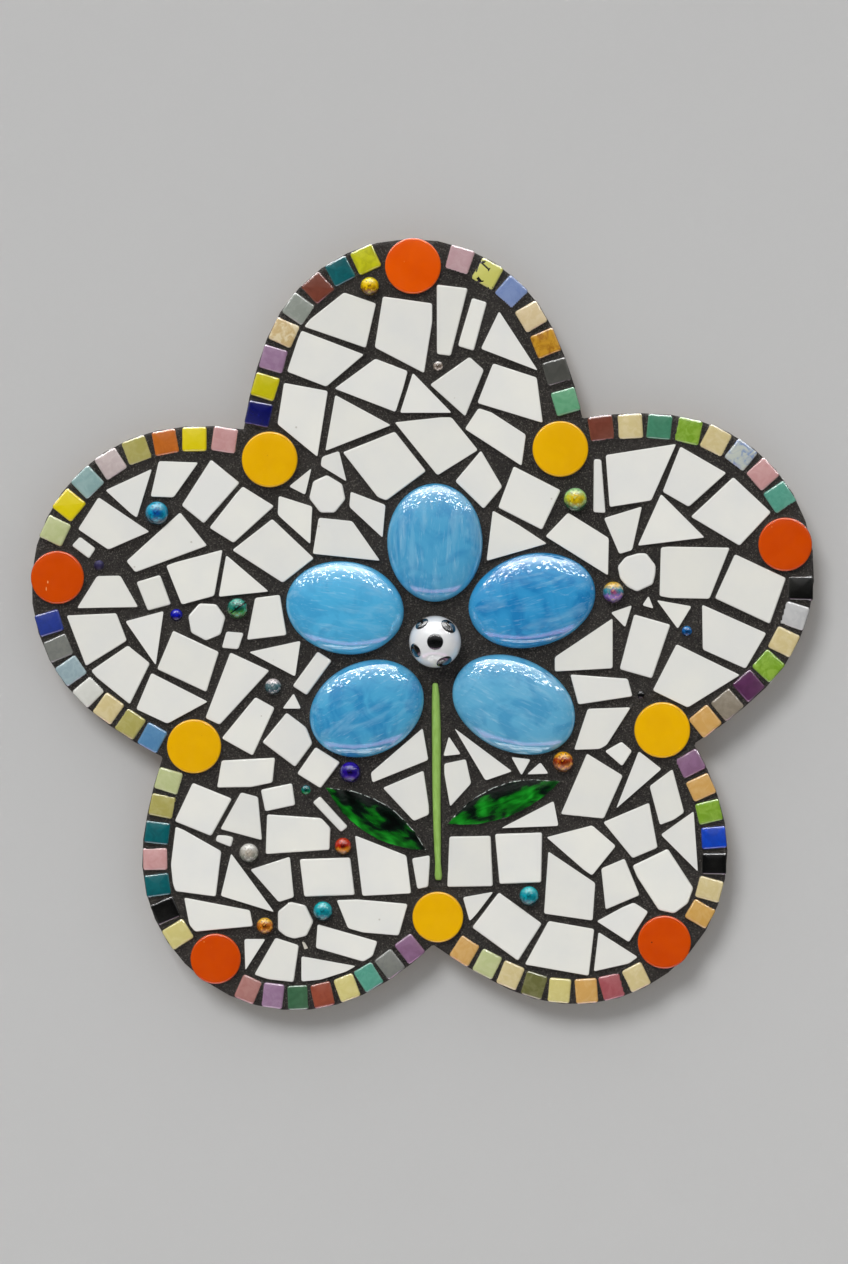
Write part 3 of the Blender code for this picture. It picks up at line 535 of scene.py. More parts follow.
square = {
    "corner": 1.0 * mm, "cornerSteps": 3, "rimRound": 1.1 * mm, "rimSteps": 4, "crownRise": 0.22 * mm,
    "sizeSpread": 0.02, "tilt": 2.0, "spin": 2.6, "sink": 0.2 * mm, "rimFrom": 0.1 * mm, "rimReach": 0.8 * mm,
    "heartReach": 3.6 * mm, "depth": (0.9, 0.9, 0.87, 1), "milk": "#4a4a48", "milkShare": 0.08,
    "pale": "#5c5c58", "paleShare": 0.4, "seed": 11,
}
glazes = {  # colour, second colour, and how much of that; over 1.5 it runs in cracks, not patches
    "navy": ("#020864", "#04074c", 0.5), "royal": ("#2a3e98", "#22357c", 0.5),
    "brightBlue": ("#0a46c8", "#063294", 0.5), "skyBlue": ("#5488b8", "#6c9cc4", 0.5),
    "periwinkle": ("#7a90c6", "#90a4d2", 0.5), "paleBlue": ("#98aeb8", "#aec2ca", 0.6),
    "aqua": ("#90b0b2", "#a8c4c6", 0.5), "teal": ("#07646c", "#064c56", 0.5),
    "turquoise": ("#549e8c", "#6cb2a0", 0.5), "mint": ("#62a47c", "#78b490", 0.5),
    "seaGreen": ("#4a8c70", "#3a7a5e", 0.5), "bottleGreen": ("#426e50", "#335c40", 0.5),
    "paleGreen": ("#c0c892", "#d0d4a8", 0.5), "lime": ("#7ca62c", "#96ba48", 0.9),
    "limeYellow": ("#ccc206", "#d8ca1c", 0.5), "mossYellow": ("#d0d01c", "#b4b418", 0.8),
    "crackle": ("#d2d070", "#1c1a10", 2.0), "yellow": ("#e6d204", "#ecd820", 0.4),
    "paleYellow": ("#d8cc84", "#e4da9c", 0.5), "khaki": ("#b0a85e", "#c0b87c", 0.5),
    "olive": ("#6c6c3e", "#84845a", 0.7), "cream": ("#dac894", "#e8dab2", 0.5),
    "creamPeach": ("#e0caa0", "#ecdab8", 0.6), "mottledCream": ("#d2b684", "#e8d8b4", 1.2),
    "peach": ("#d8a860", "#e2ba7e", 0.5), "lightOrange": ("#d6a656", "#e0b674", 0.5),
    "amber": ("#d09a28", "#a0640c", 0.8), "orange": ("#cc7026", "#ba601c", 0.5),
    "terracotta": ("#9c4e3a", "#843e2e", 0.5), "brick": ("#7e4234", "#6a3628", 0.5),
    "pink": ("#cc989a", "#d8acac", 0.5), "palePink": ("#c4a0a8", "#d2b4ba", 0.5),
    "rose": ("#a6545c", "#b66a70", 0.5), "dustyPink": ("#b07a76", "#c08e8a", 0.5),
    "lilac": ("#9a789a", "#ac8eac", 0.5), "paleLilac": ("#c8b8ba", "#d8cccc", 0.6),
    "mauve": ("#906a8e", "#7e5a78", 0.5), "purple": ("#5e305a", "#4c2648", 0.5),
    "taupe": ("#8c8274", "#a09688", 0.5), "grey": ("#828480", "#707272", 0.5),
    "paleGrey": ("#949a94", "#acb2ac", 0.5), "darkGrey": ("#50504d", "#434442", 0.5),
    "lilacGrey": ("#c0c0c4", "#d2d2d4", 0.5), "white": ("#dadad6", "#e6e6e4", 0.4),
    "opal": ("#c6ccc6", "#8a9ec8", 1.1), "black": ("#070707", "#030303", 0.3),
}
lobes = {
    "top": ((-4.1, 95.5), "mint darkGrey amber creamPeach periwinkle crackle palePink "
            "mossYellow teal brick paleGrey mottledCream lilac limeYellow navy"),
    "left": ((-88.2, 24.7), "pink yellow orange khaki paleLilac aqua yellow paleGreen "
             "royal grey paleBlue white cream khaki skyBlue"),
    "lower_left": ((-49.7, -79.2), "paleGreen khaki teal pink teal black paleYellow "
                   "dustyPink lilac bottleGreen terracotta paleYellow turquoise grey mauve"),
    "lower_right": ((57.7, -76.9), "peach paleGreen cream olive paleYellow peach rose cream "
                    "lightOrange cream black brightBlue lime peach mauve"),
    "right": ((86.0, 28.2), "peach taupe purple lime cream lilacGrey black "
              "turquoise pink opal cream lime seaGreen cream brick"),
}


def squareGlaze():  # paler on the rim, partly where the glaze thins and partly a painted highlight, and a little milky at the heart
    recipe = Recipe("coloured_glaze", Roughness=0.08, IOR=1.55, Coat_Weight=1.0, Coat_Roughness=0.03,
                    Coat_IOR=1.7)
    where = recipe.place()
    share = recipe.painted("vein", "Alpha")
    patches = recipe.span(recipe.grain(where, 260, 4, 0.6, 1.2), 0.42, 0.62)
    patches = recipe.maths("MULTIPLY", patches, share)
    lines = recipe.cells(where, 190.0, feature="DISTANCE_TO_EDGE").outputs["Distance"]
    cracks = recipe.maths("LESS_THAN", lines, 0.055)
    broken = recipe.maths("GREATER_THAN", recipe.grain(where, 170, 2), 0.56)
    cracks = recipe.maths("MULTIPLY", cracks, broken)
    amount = recipe.mix(recipe.maths("GREATER_THAN", share, 1.5), patches, cracks)
    amount = recipe.maths("MINIMUM", amount, 1.0)
    colour = recipe.mix(amount, recipe.painted("glaze"), recipe.painted("vein"))
    milk = recipe.mix(1.0, colour, square["milk"], "ADD")
    heart = recipe.span(recipe.painted("heart", "Fac"), 0.1, 1.0, 0, square["milkShare"])
    colour = recipe.mix(heart, colour, milk)
    # painted highlight, partly glaze thinning: the rounded rim is lightened all round
    pale = recipe.mix(1.0, colour, square["pale"], "ADD")
    rim = recipe.maths("MULTIPLY", recipe.painted("rim", "Fac"), square["paleShare"])
    colour = recipe.mix(rim, colour, pale)
    recipe.set(Base_Color=recipe.mix(1.0, colour, square["depth"], "MULTIPLY"))
    recipe.set(Roughness=recipe.span(recipe.grain(where, 500, 3), 0.3, 0.7, 0.06, 0.2))
    recipe.bump(recipe.grain(where, 330, 3, 0.5), 0.25 * mm, 0.35)
    return recipe.material


def buildSquares():
    rng = random.Random(square["seed"])
    byLobe = {name: [] for name in lobes}
    for outline in squareOutlines:
        middle = middleOf(outline)
        name = min(lobes, key=lambda n: (Vector(lobes[n][0]) * mm - middle).length)
        lobeMiddle = Vector(lobes[name][0]) * mm
        tip = flatBox("orange_disc_" + name)[0] - lobeMiddle
        byLobe[name].append((-tip.angle_signed(middle - lobeMiddle), outline))
    whole = bmesh.new()
    for name, found in byLobe.items():
        found.sort(key=lambda pair: pair[0])
        names = lobes[name][1].split()
        print(name, len(found), "squares for", len(names), "glazes")
        for (_, outline), glaze in zip(found, names):
            middle = middleOf(outline)
            bm = tileSolid(outline, square, rng)
            colour, vein, amount = glazes[glaze]
            rimShare(bm, tileTop - square["rimFrom"], square["rimReach"])
            paint(bm, "heart", lambda place: 1 - (place.xy - middle).length / square["heartReach"])
            paint(bm, "glaze", colour)
            paint(bm, "vein", linear(vein)[:3] + (amount,))
            addTo(whole, bm)
    finishPiece(whole, "border_squares", squareGlaze(), sharp=60)


buildSquares()
print("border squares built")


# Discs

disc = {
    "rimRound": 0.9 * mm, "rimSteps": 4, "rimFrom": 0.05 * mm, "rimReach": 0.5 * mm, "sides": 72,
    "domeRise": 0.25 * mm, "domeSteps": 3, "domeInset": 0.24,  # the inset is a share of the radius
    "orange": ("#e25600", "#da4e00", "#ea6e14", "#f2a65c"),  # body, patches, rim and dust
    "yellow": ("#e6ae00", "#dfa600", "#d2a010", "#c98d10"),
    "lighter": "orange_disc_top", "tone": (0.78, 0.68, 0.6, 1),
    "marks": ((-143.5, 25.6, 0.22, 0.5, "#f0b070"), (-144.1, 23.0, 0.2, 0.7, "#e8a060"),
              (87.5, -112.2, 0.3, 0.3, "#50200c")),  # place, half sizes and colour
}


def discGlaze(name):
    body, patch, rim, dust = disc[name]
    recipe = Recipe(name + "_disc_glaze", Roughness=0.14, IOR=1.45, Coat_Weight=0.2, Coat_Roughness=0.03)
    where = recipe.place()
    cloud = recipe.grain(where, 90, 3, 0.5, 0.5)
    colour = recipe.mix(recipe.span(cloud, 0.4, 0.65, 0, 0.7), body, patch)
    colour = recipe.mix(recipe.maths("MULTIPLY", recipe.painted("rim", "Fac"), 0.5), colour, rim)
    specks = recipe.maths("LESS_THAN", recipe.cells(where, 240.0).outputs["Distance"], 0.07)
    specks = recipe.maths("MULTIPLY", specks, recipe.span(cloud, 0.52, 0.6, 0, 0.6))
    colour = recipe.mix(specks, colour, dust)
    colour = recipe.mix(1.0, colour, recipe.painted("tone"), "MULTIPLY")
    for x, y, wide, high, mark in disc["marks"]:
        spot = recipe.add("VectorMath", {"operation": "SUBTRACT"})
        recipe.plug(spot.inputs[0], where)
        recipe.plug(spot.inputs[1], (x * mm, 0, y * mm))
        away = recipe.length(recipe.stretched(spot.outputs[0], (1 / (wide * mm), 0, 1 / (high * mm))))
        colour = recipe.mix(recipe.span(away, 0.7, 1.3, 0.9, 0), colour, mark)
    recipe.set(Base_Color=colour)
    recipe.set(Roughness=recipe.span(recipe.grain(where, 380, 3), 0.3, 0.7, 0.08, 0.18))
    recipe.bump(recipe.grain(where, 210, 3, 0.5), 0.2 * mm, 0.2)
    return recipe.material


def buildDiscs():
    glaze = {name: discGlaze(name) for name in ("orange", "yellow")}
    for node in sorted(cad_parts):
        if "_disc_" not in node:
            continue
        kind = node.split("_")[0]
        middle, half, base, top = flatBox(node)
        radius = max(half)
        bm = bmesh.new()
        bmesh.ops.create_cone(bm, cap_ends=True, segments=disc["sides"], radius1=radius, radius2=radius,
                              depth=top - base)
        moved(bm, (middle.x, middle.y, (base + top) / 2))
        softenRim(bm, top, disc["rimRound"], disc["rimSteps"])
        rimShare(bm, top - disc["rimFrom"], disc["rimReach"])
        for _ in range(disc["domeSteps"]):
            cap = [f for f in bm.faces if len(f.verts) > 4 and f.normal.z > 0.5]
            bmesh.ops.inset_individual(bm, faces=cap, thickness=radius * disc["domeInset"],
                                       depth=disc["domeRise"] / disc["domeSteps"], use_even_offset=True)
        deeper = kind == "orange" and node != disc["lighter"]
        paint(bm, "tone", disc["tone"] if deeper else (1, 1, 1, 1))
        finishPiece(bm, node + ".glazed", glaze[kind], [node], sharp=60)


buildDiscs()
print("discs built")


# Glass gems of the flower: place, length, width and turn, then body and deeper colour

gem = {
    "top": (4.6, 40.8, 46, 37, 90, "#4fa2cd", "#3a90c2"),
    "upper_left": (-29.9, 15.8, 46, 36, -10, "#4eaedc", "#409ecf"),
    "upper_right": (41.7, 18.5, 50, 36, 15, "#3496cd", "#1d7cba"),
    "lower_left": (-21.5, -22.8, 46, 36, 25, "#4aa4d0", "#2c86bc"),
    "lower_right": (34.8, -21.3, 50, 36, -25, "#60acd2", "#4898c4"),
}
gemShape = {
    "waist": 3.5 * mm, "dome": 7.4 * mm, "roundness": 2.7, "apart": 60,
    "wobble": 0.012, "wobbleScale": 1.3, "ripple": 0.12 * mm, "rippleScale": 2.2,
    "streak": "#a6d2e8", "hair": "#c0dfee", "thinRim": "#52b6e4",
}


def gemGlass():  # opaque blue with deeper pools and pale streaks along the gem
    recipe = Recipe("sky_lustre_glass", Roughness=0.05, IOR=1.6, Coat_Weight=1.0, Coat_Roughness=0.01,
                    Coat_IOR=1.55)
    where = recipe.place("gemPlace")
    pool = recipe.grain(where, 0.075, 3, 0.55, 1.2)
    streak = recipe.grain(recipe.stretched(where, (0.05, 0.24, 0.24)), 1.0, 4, 0.6, 0.6)
    hair = recipe.grain(recipe.stretched(where, (0.12, 1.1, 1.1)), 1.0, 3, 0.6, 0.4)
    colour = recipe.mix(recipe.span(pool, 0.44, 0.62, 0, 0.9), recipe.painted("body"), recipe.painted("deep"))
    for share, name in (
        (recipe.span(streak, 0.5, 0.72, 0, 0.3), "streak"), (recipe.span(hair, 0.58, 0.74, 0, 0.25), "hair"),
        (recipe.span(recipe.painted("rim", "Fac"), 0.5, 0.95, 0, 0.35), "thinRim"),
    ):
        colour = recipe.mix(share, colour, gemShape[name])
    recipe.set(Base_Color=colour)
    recipe.bump(recipe.maths("ADD", pool, recipe.maths("MULTIPLY", streak, 0.25)), 0.6 * mm, 0.35)
    return recipe.material


def buildGems():
    glass = gemGlass()
    dome, waist, wobble = gemShape["dome"], gemShape["waist"], gemShape["wobble"]
    for index, (name, (x, y, length, width, turn, body, deep)) in enumerate(gem.items()):
        bm = bmesh.new()
        bmesh.ops.create_uvsphere(bm, u_segments=96, v_segments=56, radius=1)
        layer = bm.verts.layers.float_vector.new("gemPlace")
        seedAt = Vector((index * 7.3, 3.1 * index, 0))
        for v in bm.verts:
            across = min(1.0, v.co.xy.length)
            flat = Vector((v.co.x, v.co.y, 0))
            swell = 1 + wobble * noise.noise(flat * gemShape["wobbleScale"] + seedAt) - wobble
            if v.co.z >= 0:
                z = dome * (1 - across ** gemShape["roundness"]) ** 0.5
                at = flat * gemShape["rippleScale"] + Vector((0, 0, 5)) + seedAt
                z += gemShape["ripple"] * noise.noise(at) * (1 - across)
            else:
                z = max(-waist, v.co.z * dome)
            v.co = Vector((v.co.x * length * mm / 2 * swell, v.co.y * width * mm / 2 * swell, z))
            v[layer] = v.co * 1000 + Vector((gemShape["apart"] * index, 0, 0))
        rimShare(bm, dome, dome)
        paint(bm, "body", body)
        paint(bm, "deep", deep)
        turned(bm, about("Z", turn))
        moved(bm, (x * mm, y * mm, bedBase + waist))
        node = "petal_gem_" + name
        finishPiece(bm, node + ".glass", glass, [node], sharp=80)


buildGems()
print("gems built")


# Centre bead with its raised black dots: where each dot looks, across and up, and its width

centre = {
    "radius": 10 * mm, "dotHigh": 0.9 * mm, "dotRise": 0.1 * mm,
    "dots": ((0.0, 0.0, 6.2), (-0.52, 0.70, 5.6), (0.53, 0.61, 6.4), (-0.76, -0.34, 5.6), (0.36, -0.78, 6.2)),
    "white": "#e9e9e9", "whiteCool": "#dcdde0", "black": "#060606", "blackPale": "#161618",
}


def centreGlass():
    white = Recipe("white_glass", Roughness=0.08, IOR=1.52, Coat_Weight=1.0, Coat_Roughness=0.02,
                   Subsurface_Weight=0.15, Subsurface_Radius=(0.01, 0.01, 0.01), Subsurface_Scale=0.2)
    where = white.place()
    cloud = white.span(white.grain(where, 140, 3), 0.35, 0.65)
    white.set(Base_Color=white.mix(cloud, centre["white"], centre["whiteCool"]))
    white.bump(white.grain(where, 260, 2), 0.2 * mm, 0.2)
    black = Recipe("black_glass", Roughness=0.05, IOR=1.55, Coat_Weight=1.0, Coat_Roughness=0.02)
    where = black.place()
    cloud = black.span(black.grain(where, 400, 3), 0.4, 0.7)
    black.set(Base_Color=black.mix(cloud, centre["black"], centre["blackPale"]))
    black.bump(black.grain(where, 500, 2), 0.2 * mm, 0.25)
    return white.material, black.material


def buildCentre():
    white, black = centreGlass()
    radius = centre["radius"]
    middle, _, base, top = flatBox("centre_bead")
    heart = Vector((middle.x, middle.y, top - radius))
    bm = bmesh.new()
    bmesh.ops.create_uvsphere(bm, u_segments=64, v_segments=40, radius=radius)
    moved(bm, heart)
    for v in bm.verts:
        v.co.z = max(v.co.z, base)
    finishPiece(bm, "centre_bead.white", white, ["centre_bead"], sharp=80)
    dots = bmesh.new()
    for across, up, width in centre["dots"]:
        half = width * mm / 2
        out = Vector((across, up, math.sqrt(max(0, 1 - across ** 2 - up ** 2))))
        spot = bmesh.new()
        bmesh.ops.create_uvsphere(spot, u_segments=32, v_segments=16, radius=1)
        bmesh.ops.scale(spot, vec=(half, half, centre["dotHigh"]), verts=spot.verts)
        turned(spot, out.to_track_quat("Z", "Y").to_matrix())
        moved(spot, heart + out * (math.sqrt(radius ** 2 - half ** 2) + centre["dotRise"]))
        addTo(dots, spot)
    finishPiece(dots, "centre_bead.dots", black)


buildCentre()
print("centre bead built")


# Stem: a pulled rod of light green glass

stemRod = {  # each ring's place across, its height and its radius
    "rings": ((4.7, -13.0, 1.0), (4.75, -14.5, 1.2), (4.9, -18, 1.48), (5.0, -24, 1.65), (5.15, -32, 1.75),
              (5.2, -40, 1.72), (5.15, -48, 1.66), (5.2, -56, 1.6), (5.3, -64, 1.52), (5.5, -72, 1.42),
              (5.6, -78, 1.28), (5.75, -82, 1.14), (5.85, -84.6, 1.3), (5.9, -86.6, 1.5), (5.9, -88.6, 1.1)),
    "sides": 24, "endRound": 0.7 * mm, "endSteps": 4,
    "colour": "#86ad4e", "streak": "#9cc468", "cloud": "#6f9a3a",
}


def buildStem():
    recipe = Recipe("green_rod", Roughness=0.32, IOR=1.5, Coat_Weight=0.25, Coat_Roughness=0.2)
    where = recipe.place()
    long = recipe.grain(recipe.stretched(where, (5, 5, 1)), 240, 4, 0.6)
    colour = recipe.mix(recipe.span(long, 0.35, 0.7), stemRod["colour"], stemRod["streak"])
    cloud = recipe.span(recipe.grain(where, 60, 2), 0.5, 0.8, 0, 0.3)
    recipe.set(Base_Color=recipe.mix(cloud, colour, stemRod["cloud"]))
    recipe.bump(long, 0.15 * mm, 0.3)
    _, _, base, top = flatBox("stem_rod")
    bm = bmesh.new()
    rings = []
    for x, y, radius in stemRod["rings"]:
        circle = bmesh.ops.create_circle(bm, cap_ends=False, segments=stemRod["sides"], radius=radius * mm)
        ring = circle["verts"]
        bmesh.ops.rotate(bm, cent=(0, 0, 0), matrix=about("X", 90), verts=ring)
        bmesh.ops.translate(bm, vec=(x * mm, y * mm, (base + top) / 2), verts=ring)
        rings.append(sorted({e for v in ring for e in v.link_edges}, key=lambda e: e.index))
    for first, second in zip(rings, rings[1:]):
        bmesh.ops.bridge_loops(bm, edges=first + second)
    bmesh.ops.holes_fill(bm, edges=[e for e in bm.edges if e.is_boundary])
    bmesh.ops.recalc_face_normals(bm, faces=bm.faces)
    ends = [e for e in bm.edges if any(len(f.verts) > 4 for f in e.link_faces)]
    bmesh.ops.bevel(bm, geom=ends, offset=stemRod["endRound"], segments=stemRod["endSteps"], affect="EDGES",
                    profile=0.5, material=-1)
    finishPiece(bm, "stem_rod.glass", recipe.material, ["stem_rod"], sharp=50)


buildStem()
print("stem built")


# Leaves: cut dark green streaky glass

leaf = {
    "rimRound": 0.35 * mm, "rimSteps": 2, "rimFrom": 0.02 * mm, "chip": 0.0875 * mm, "chipReach": 0.1 * mm,
    "chipCuts": 2, "seed": 7, "shift": {"left": 0.0, "right": 9.0},
    "flow": ((0.30, "#010402"), (0.46, "#03140a"), (0.60, "#0a6212"), (0.76, "#1c9a26")), "glint": "#dfe9e2",
}


def leafGlass():
    recipe = Recipe("streaky_green_glass", Roughness=0.05, IOR=1.52, Coat_Weight=0.6, Coat_Roughness=0.02)
    axes = recipe.place("leafPlace")
    across = recipe.axis(axes, "Y")
    flow = recipe.grain(recipe.stretched(axes, (0.9, 1.6, 1)), 1.5, 1.5, 0.5, 0.6)
    flow = recipe.maths("ADD", flow, recipe.span(across, 0, 1, 0.17, -0.18))
    swirl = recipe.grain(recipe.stretched(axes, (1.6, 6.0, 1), (0, 0, 0.35)), 1.0, 2, 0.5, 0.8)
    flow = recipe.maths("ADD", flow, recipe.span(swirl, 0.3, 0.7, -0.07, 0.07))
    colour = recipe.ramp(flow, leaf["flow"])
    # painted highlight: white glints on chipped glass, only on the rim of the upper edge where the light
    # catches it
    glintCells = recipe.cells(recipe.place(), 900.0).outputs["Color"]
    chipGlints = recipe.maths("GREATER_THAN", recipe.axis(glintCells, "X"), 0.5)
    chipGlints = recipe.maths("MULTIPLY", chipGlints, recipe.maths("GREATER_THAN", across, 0.5))
    chipGlints = recipe.maths("MULTIPLY", chipGlints, recipe.span(recipe.painted("rim", "Fac"), 0.05, 0.3))
    recipe.set(Base_Color=recipe.mix(chipGlints, colour, leaf["glint"]))
    recipe.bump(recipe.grain(recipe.stretched(axes, (2.5, 3.5, 1)), 1.5, 3, 0.5, 1.0), 0.6 * mm, 0.3)
    return recipe.material


def leafAxes(bm, outline, shift):  # along the leaf, and across it from its lower edge to its upper one
    pairs = ((a, b) for a in outline for b in outline if a.x < b.x)
    ends = max(pairs, key=lambda pair: (pair[1] - pair[0]).length)
    along = (ends[1] - ends[0]).normalized()
    up = Vector((-along.y, along.x))
    heights = [(p - ends[0]) @ up for p in outline]
    low, high = min(heights), max(heights)
    layer = bm.verts.layers.float_vector.new("leafPlace")
    for v in bm.verts:
        out = v.co.xy - ends[0]
        v[layer] = Vector((out @ along / (high - low), (out @ up - low) / (high - low), shift))


def buildLeaves():
    glass = leafGlass()
    rng = random.Random(leaf["seed"])
    for side, shift in leaf["shift"].items():
        node = "leaf_" + side
        outlines, top = topOutlines(node)
        bm = slabFromOutline(outlines[0], flatBox(node)[2], top)
        level = [e for e in bm.edges if abs(e.verts[0].co.z - e.verts[1].co.z) < same]
        bmesh.ops.subdivide_edges(bm, edges=level, cuts=leaf["chipCuts"], use_grid_fill=False)
        for v in bm.verts:
            if v.co.z > top - leaf["chipReach"]:
                v.co += Vector((rng.gauss(0, 1), rng.gauss(0, 1), 0)) * leaf["chip"]
        softenRim(bm, top, leaf["rimRound"], leaf["rimSteps"])
        rimShare(bm, top - leaf["rimFrom"], leaf["rimRound"])
        leafAxes(bm, outlines[0], shift)
        finishPiece(bm, node + ".glass", glass, [node], sharp=25)


buildLeaves()
print("leaves built")


# Loose beads: the tones at the top, middle, bottom and heart, how far the heart reaches, and the glitter

# On most beads the top tone is lighter and the bottom tone darker, partly the glass's own bands and partly
# painted light falling from above; the near-white tops of rose_top, silver_left and pearl_lower_left are
# painted reflections.
beadGlass = {
    "yellow_top": ("#f6e21c", "#e6bc00", "#a87404", "#8c5c02", 0.25, 0.55),
    "rose_top": ("#fcf6f0", "#8a7c70", "#bcac9e", "#5a4c42", 0.5, 0.75),
    "lime_upper_right": ("#a8e0a0", "#a4c828", "#3c9460", "#d0aa00", 0.9, 0.5),
    "rainbow_right": ("#e0b440", "#348292", "#9a74c8", "#963c6c", 0.4, 0.45),
    "blue_right": ("#127cc4", "#0a5698", "#064074", "#042248", 0.4, 0.6),
    "black_right": ("#060606", "#020202", "#020202", "#010101", 0.5, 0.05),
    "amber_right": ("#f0ac0c", "#9c3804", "#c47c4c", "#701c02", 0.45, 0.65),
    "teal_lower_right": ("#14b6bc", "#068e9c", "#047a88", "#035c68", 0.35, 0.4),
    "teal_lower_left": ("#14b6bc", "#06909e", "#047684", "#035e6a", 0.35, 0.4),
    "amber_lower_left": ("#f6c040", "#bc660c", "#d07c10", "#541e02", 0.4, 0.65),
    "red_lower_left": ("#c43408", "#a81c02", "#dc8c0c", "#3c0602", 0.42, 0.4),
    "pearl_lower_left": ("#dedcd6", "#a8a49a", "#8e9082", "#a89e90", 0.5, 0.4),
    "green_left_of_leaf": ("#066c78", "#045c54", "#128440", "#02241e", 0.35, 0.6),
    "purple_left_of_stem": ("#2c08a0", "#1c0478", "#2a0a88", "#080124", 0.4, 0.35),
    "silver_left": ("#e4dada", "#48666c", "#3c5c62", "#64787c", 0.4, 0.5),
    "green_left": ("#30a08c", "#147060", "#4c9c3c", "#04302a", 0.5, 0.7),
    "blue_left": ("#0a14c0", "#040a98", "#020450", "#060eb4", 0.4, 0.4),
    "teal_upper_left": ("#0ca6ca", "#048cb0", "#037696", "#053a8c", 0.5, 0.5),
    "plum_far_left": ("#2a2450", "#242042", "#1c1834", "#26204a", 0.5, 0.1),
}
dullBeads = ("plum_far_left",)
darkBand = {"green_left": (-0.75, 0.07)}  # lean of the black line, half its width
# the flake colour is also the painted shade on each bead's lower rim
beadDark = {"flakesAndShade": "#050505", "band": "#030403"}


def lustre(name):  # bands of colour from top to bottom, a heart, flakes, and painted shade on the lower rim
    *tones, reach, glitter = beadGlass[name]
    top, middle, bottom, heart = tones
    flakeAndShade = beadDark["flakesAndShade"]
    dull = name in dullBeads
    recipe = Recipe(name + "_glass", Roughness=0.5 if dull else 0.09, IOR=1.45,
                    Coat_Weight=0.0 if dull else 1.0, Coat_Roughness=0.02, Coat_IOR=1.25)
    where = recipe.place("beadPlace")
    across, height = recipe.axis(where, "X"), recipe.axis(where, "Y")
    ragged = recipe.grain(where, 2.2, 4, 0.6, 0.8)
    up = recipe.maths("ADD", height, recipe.span(ragged, 0, 1, -0.7, 0.7))
    # the lighter top and darker bottom tones are partly painted light from above
    stops = ((0.12, bottom), (0.34, bottom), (0.5, middle), (0.64, middle), (0.86, top))
    colour = recipe.ramp(recipe.span(up, -1, 1), stops)
    away = recipe.length(recipe.stretched(where, (1, 1.15, 0)))
    edge = recipe.maths("ADD", away, recipe.span(ragged, 0, 1, -0.4, 0.4))
    colour = recipe.mix(recipe.span(edge, reach * 0.45, reach * 1.15, 0.9, 0), colour, heart)
    chance = recipe.axis(recipe.cells(where, 4.6).outputs["Color"], "X")
    colour = recipe.mix(recipe.span(chance, 0.0, 0.45, glitter, 0), colour, flakeAndShade)
    colour = recipe.mix(recipe.span(chance, 0.72, 1.0, 0, glitter), colour, top)
    # painted shade: the rim darkens towards the flake colour, most at the bottom and least at the top, as if
    # lit from above
    low = recipe.maths("SUBTRACT", away, recipe.maths("MULTIPLY", height, 0.3))
    colour = recipe.mix(recipe.span(low, 0.75, 1.2, 0, 0.75), colour, flakeAndShade)
    if name in darkBand:
        lean, half = darkBand[name]
        line = recipe.maths("ADD", height, recipe.maths("MULTIPLY", across, lean))
        line = recipe.span(recipe.maths("ABSOLUTE", line), half, half * 1.5, 0.95, 0)
        colour = recipe.mix(line, colour, beadDark["band"])
    recipe.set(Base_Color=colour)
    relief = recipe.maths("ADD", recipe.grain(where, 3.4, 3), recipe.maths("MULTIPLY", chance, 0.12))
    recipe.bump(relief, 0.3 * mm, 0.5)
    return recipe.material


def buildBeads():
    for node in sorted(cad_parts):
        if not node.startswith("bead_"):
            continue
        middle, _, base, top = flatBox(node)
        radius = (top - base) / 2
        bm = bmesh.new()
        bmesh.ops.create_uvsphere(bm, u_segments=40, v_segments=24, radius=1)
        layer = bm.verts.layers.float_vector.new("beadPlace")
        for v in bm.verts:
            v[layer] = v.co
        bmesh.ops.scale(bm, vec=(radius, radius, radius), verts=bm.verts)
        moved(bm, (middle.x, middle.y, base + radius))
        finishPiece(bm, node + ".glass", lustre(node.removeprefix("bead_")), [node], sharp=80)


buildBeads()
print("beads built")


# Grout: a sandy bed that rises a little against every tile and rounds over at the rim

grout = {
    "cell": 0.62 * mm, "climb": 0.85 * mm, "climbReach": 0.5 * mm, "hollow": 0.16 * mm, "sand": 0.05 * mm,
    "swell": 0.22 * mm, "swellScale": 120, "rimReach": 1.6 * mm, "rimDrop": 0.9 * mm, "skirtDown": 0.3 * mm,
    "underTile": 0.75 * mm, "underStem": 0.35 * mm, "stemDip": 0.5 * mm, "beadHold": 0.92, "seed": 3,
    "dark": "#121110", "mid": "#3c3936", "pale": "#76716a", "dusty": "#4b4743",
}


def groutMaterial():
    recipe = Recipe("sandy_grout", Roughness=0.92, IOR=1.45)
    where = recipe.place()
    sand = recipe.grain(where, 1700, 4, 0.75)
    specks = recipe.cells(where, 2600.0)
    colour = recipe.mix(recipe.span(sand, 0.36, 0.62), grout["dark"], grout["mid"])
    cloud = recipe.span(recipe.grain(where, 45, 4, 0.6), 0.4, 0.75, 0, 0.3)
    colour = recipe.mix(cloud, colour, grout["dusty"])
    bright = recipe.span(recipe.axis(specks.outputs["Color"], "X"), 0.86, 0.96, 0, 0.5)
    recipe.set(Base_Color=recipe.mix(bright, colour, grout["pale"]))
    grains = recipe.maths("MULTIPLY", specks.outputs["Distance"], 0.6)
    recipe.bump(recipe.maths("ADD", sand, grains), 0.5 * mm, 1.0)
    return recipe.material


def convexDistance(points, outline):  # below 0 inside a convex outline, above 0 outside
    away = np.full(len(points), -far)
    for i in range(len(outline)):
        a, b = outline[i - 1], outline[i]
        along = (b - a).normalized()
        out = np.array((along.y, -along.x))
        away = np.maximum(away, (points - np.array(a)) @ out)
    return away


def ovalDistance(points, middle, half, turn):  # the same for an oval, true near its edge
    spin = np.array(((math.cos(turn), math.sin(turn)), (-math.sin(turn), math.cos(turn))))
    local = (points - np.array(middle)) @ spin.T
    near = np.hypot(*(local / half).T)
    steep = np.hypot(*(local / half ** 2).T)
    return near * (near - 1) / np.maximum(steep, 1e-9)


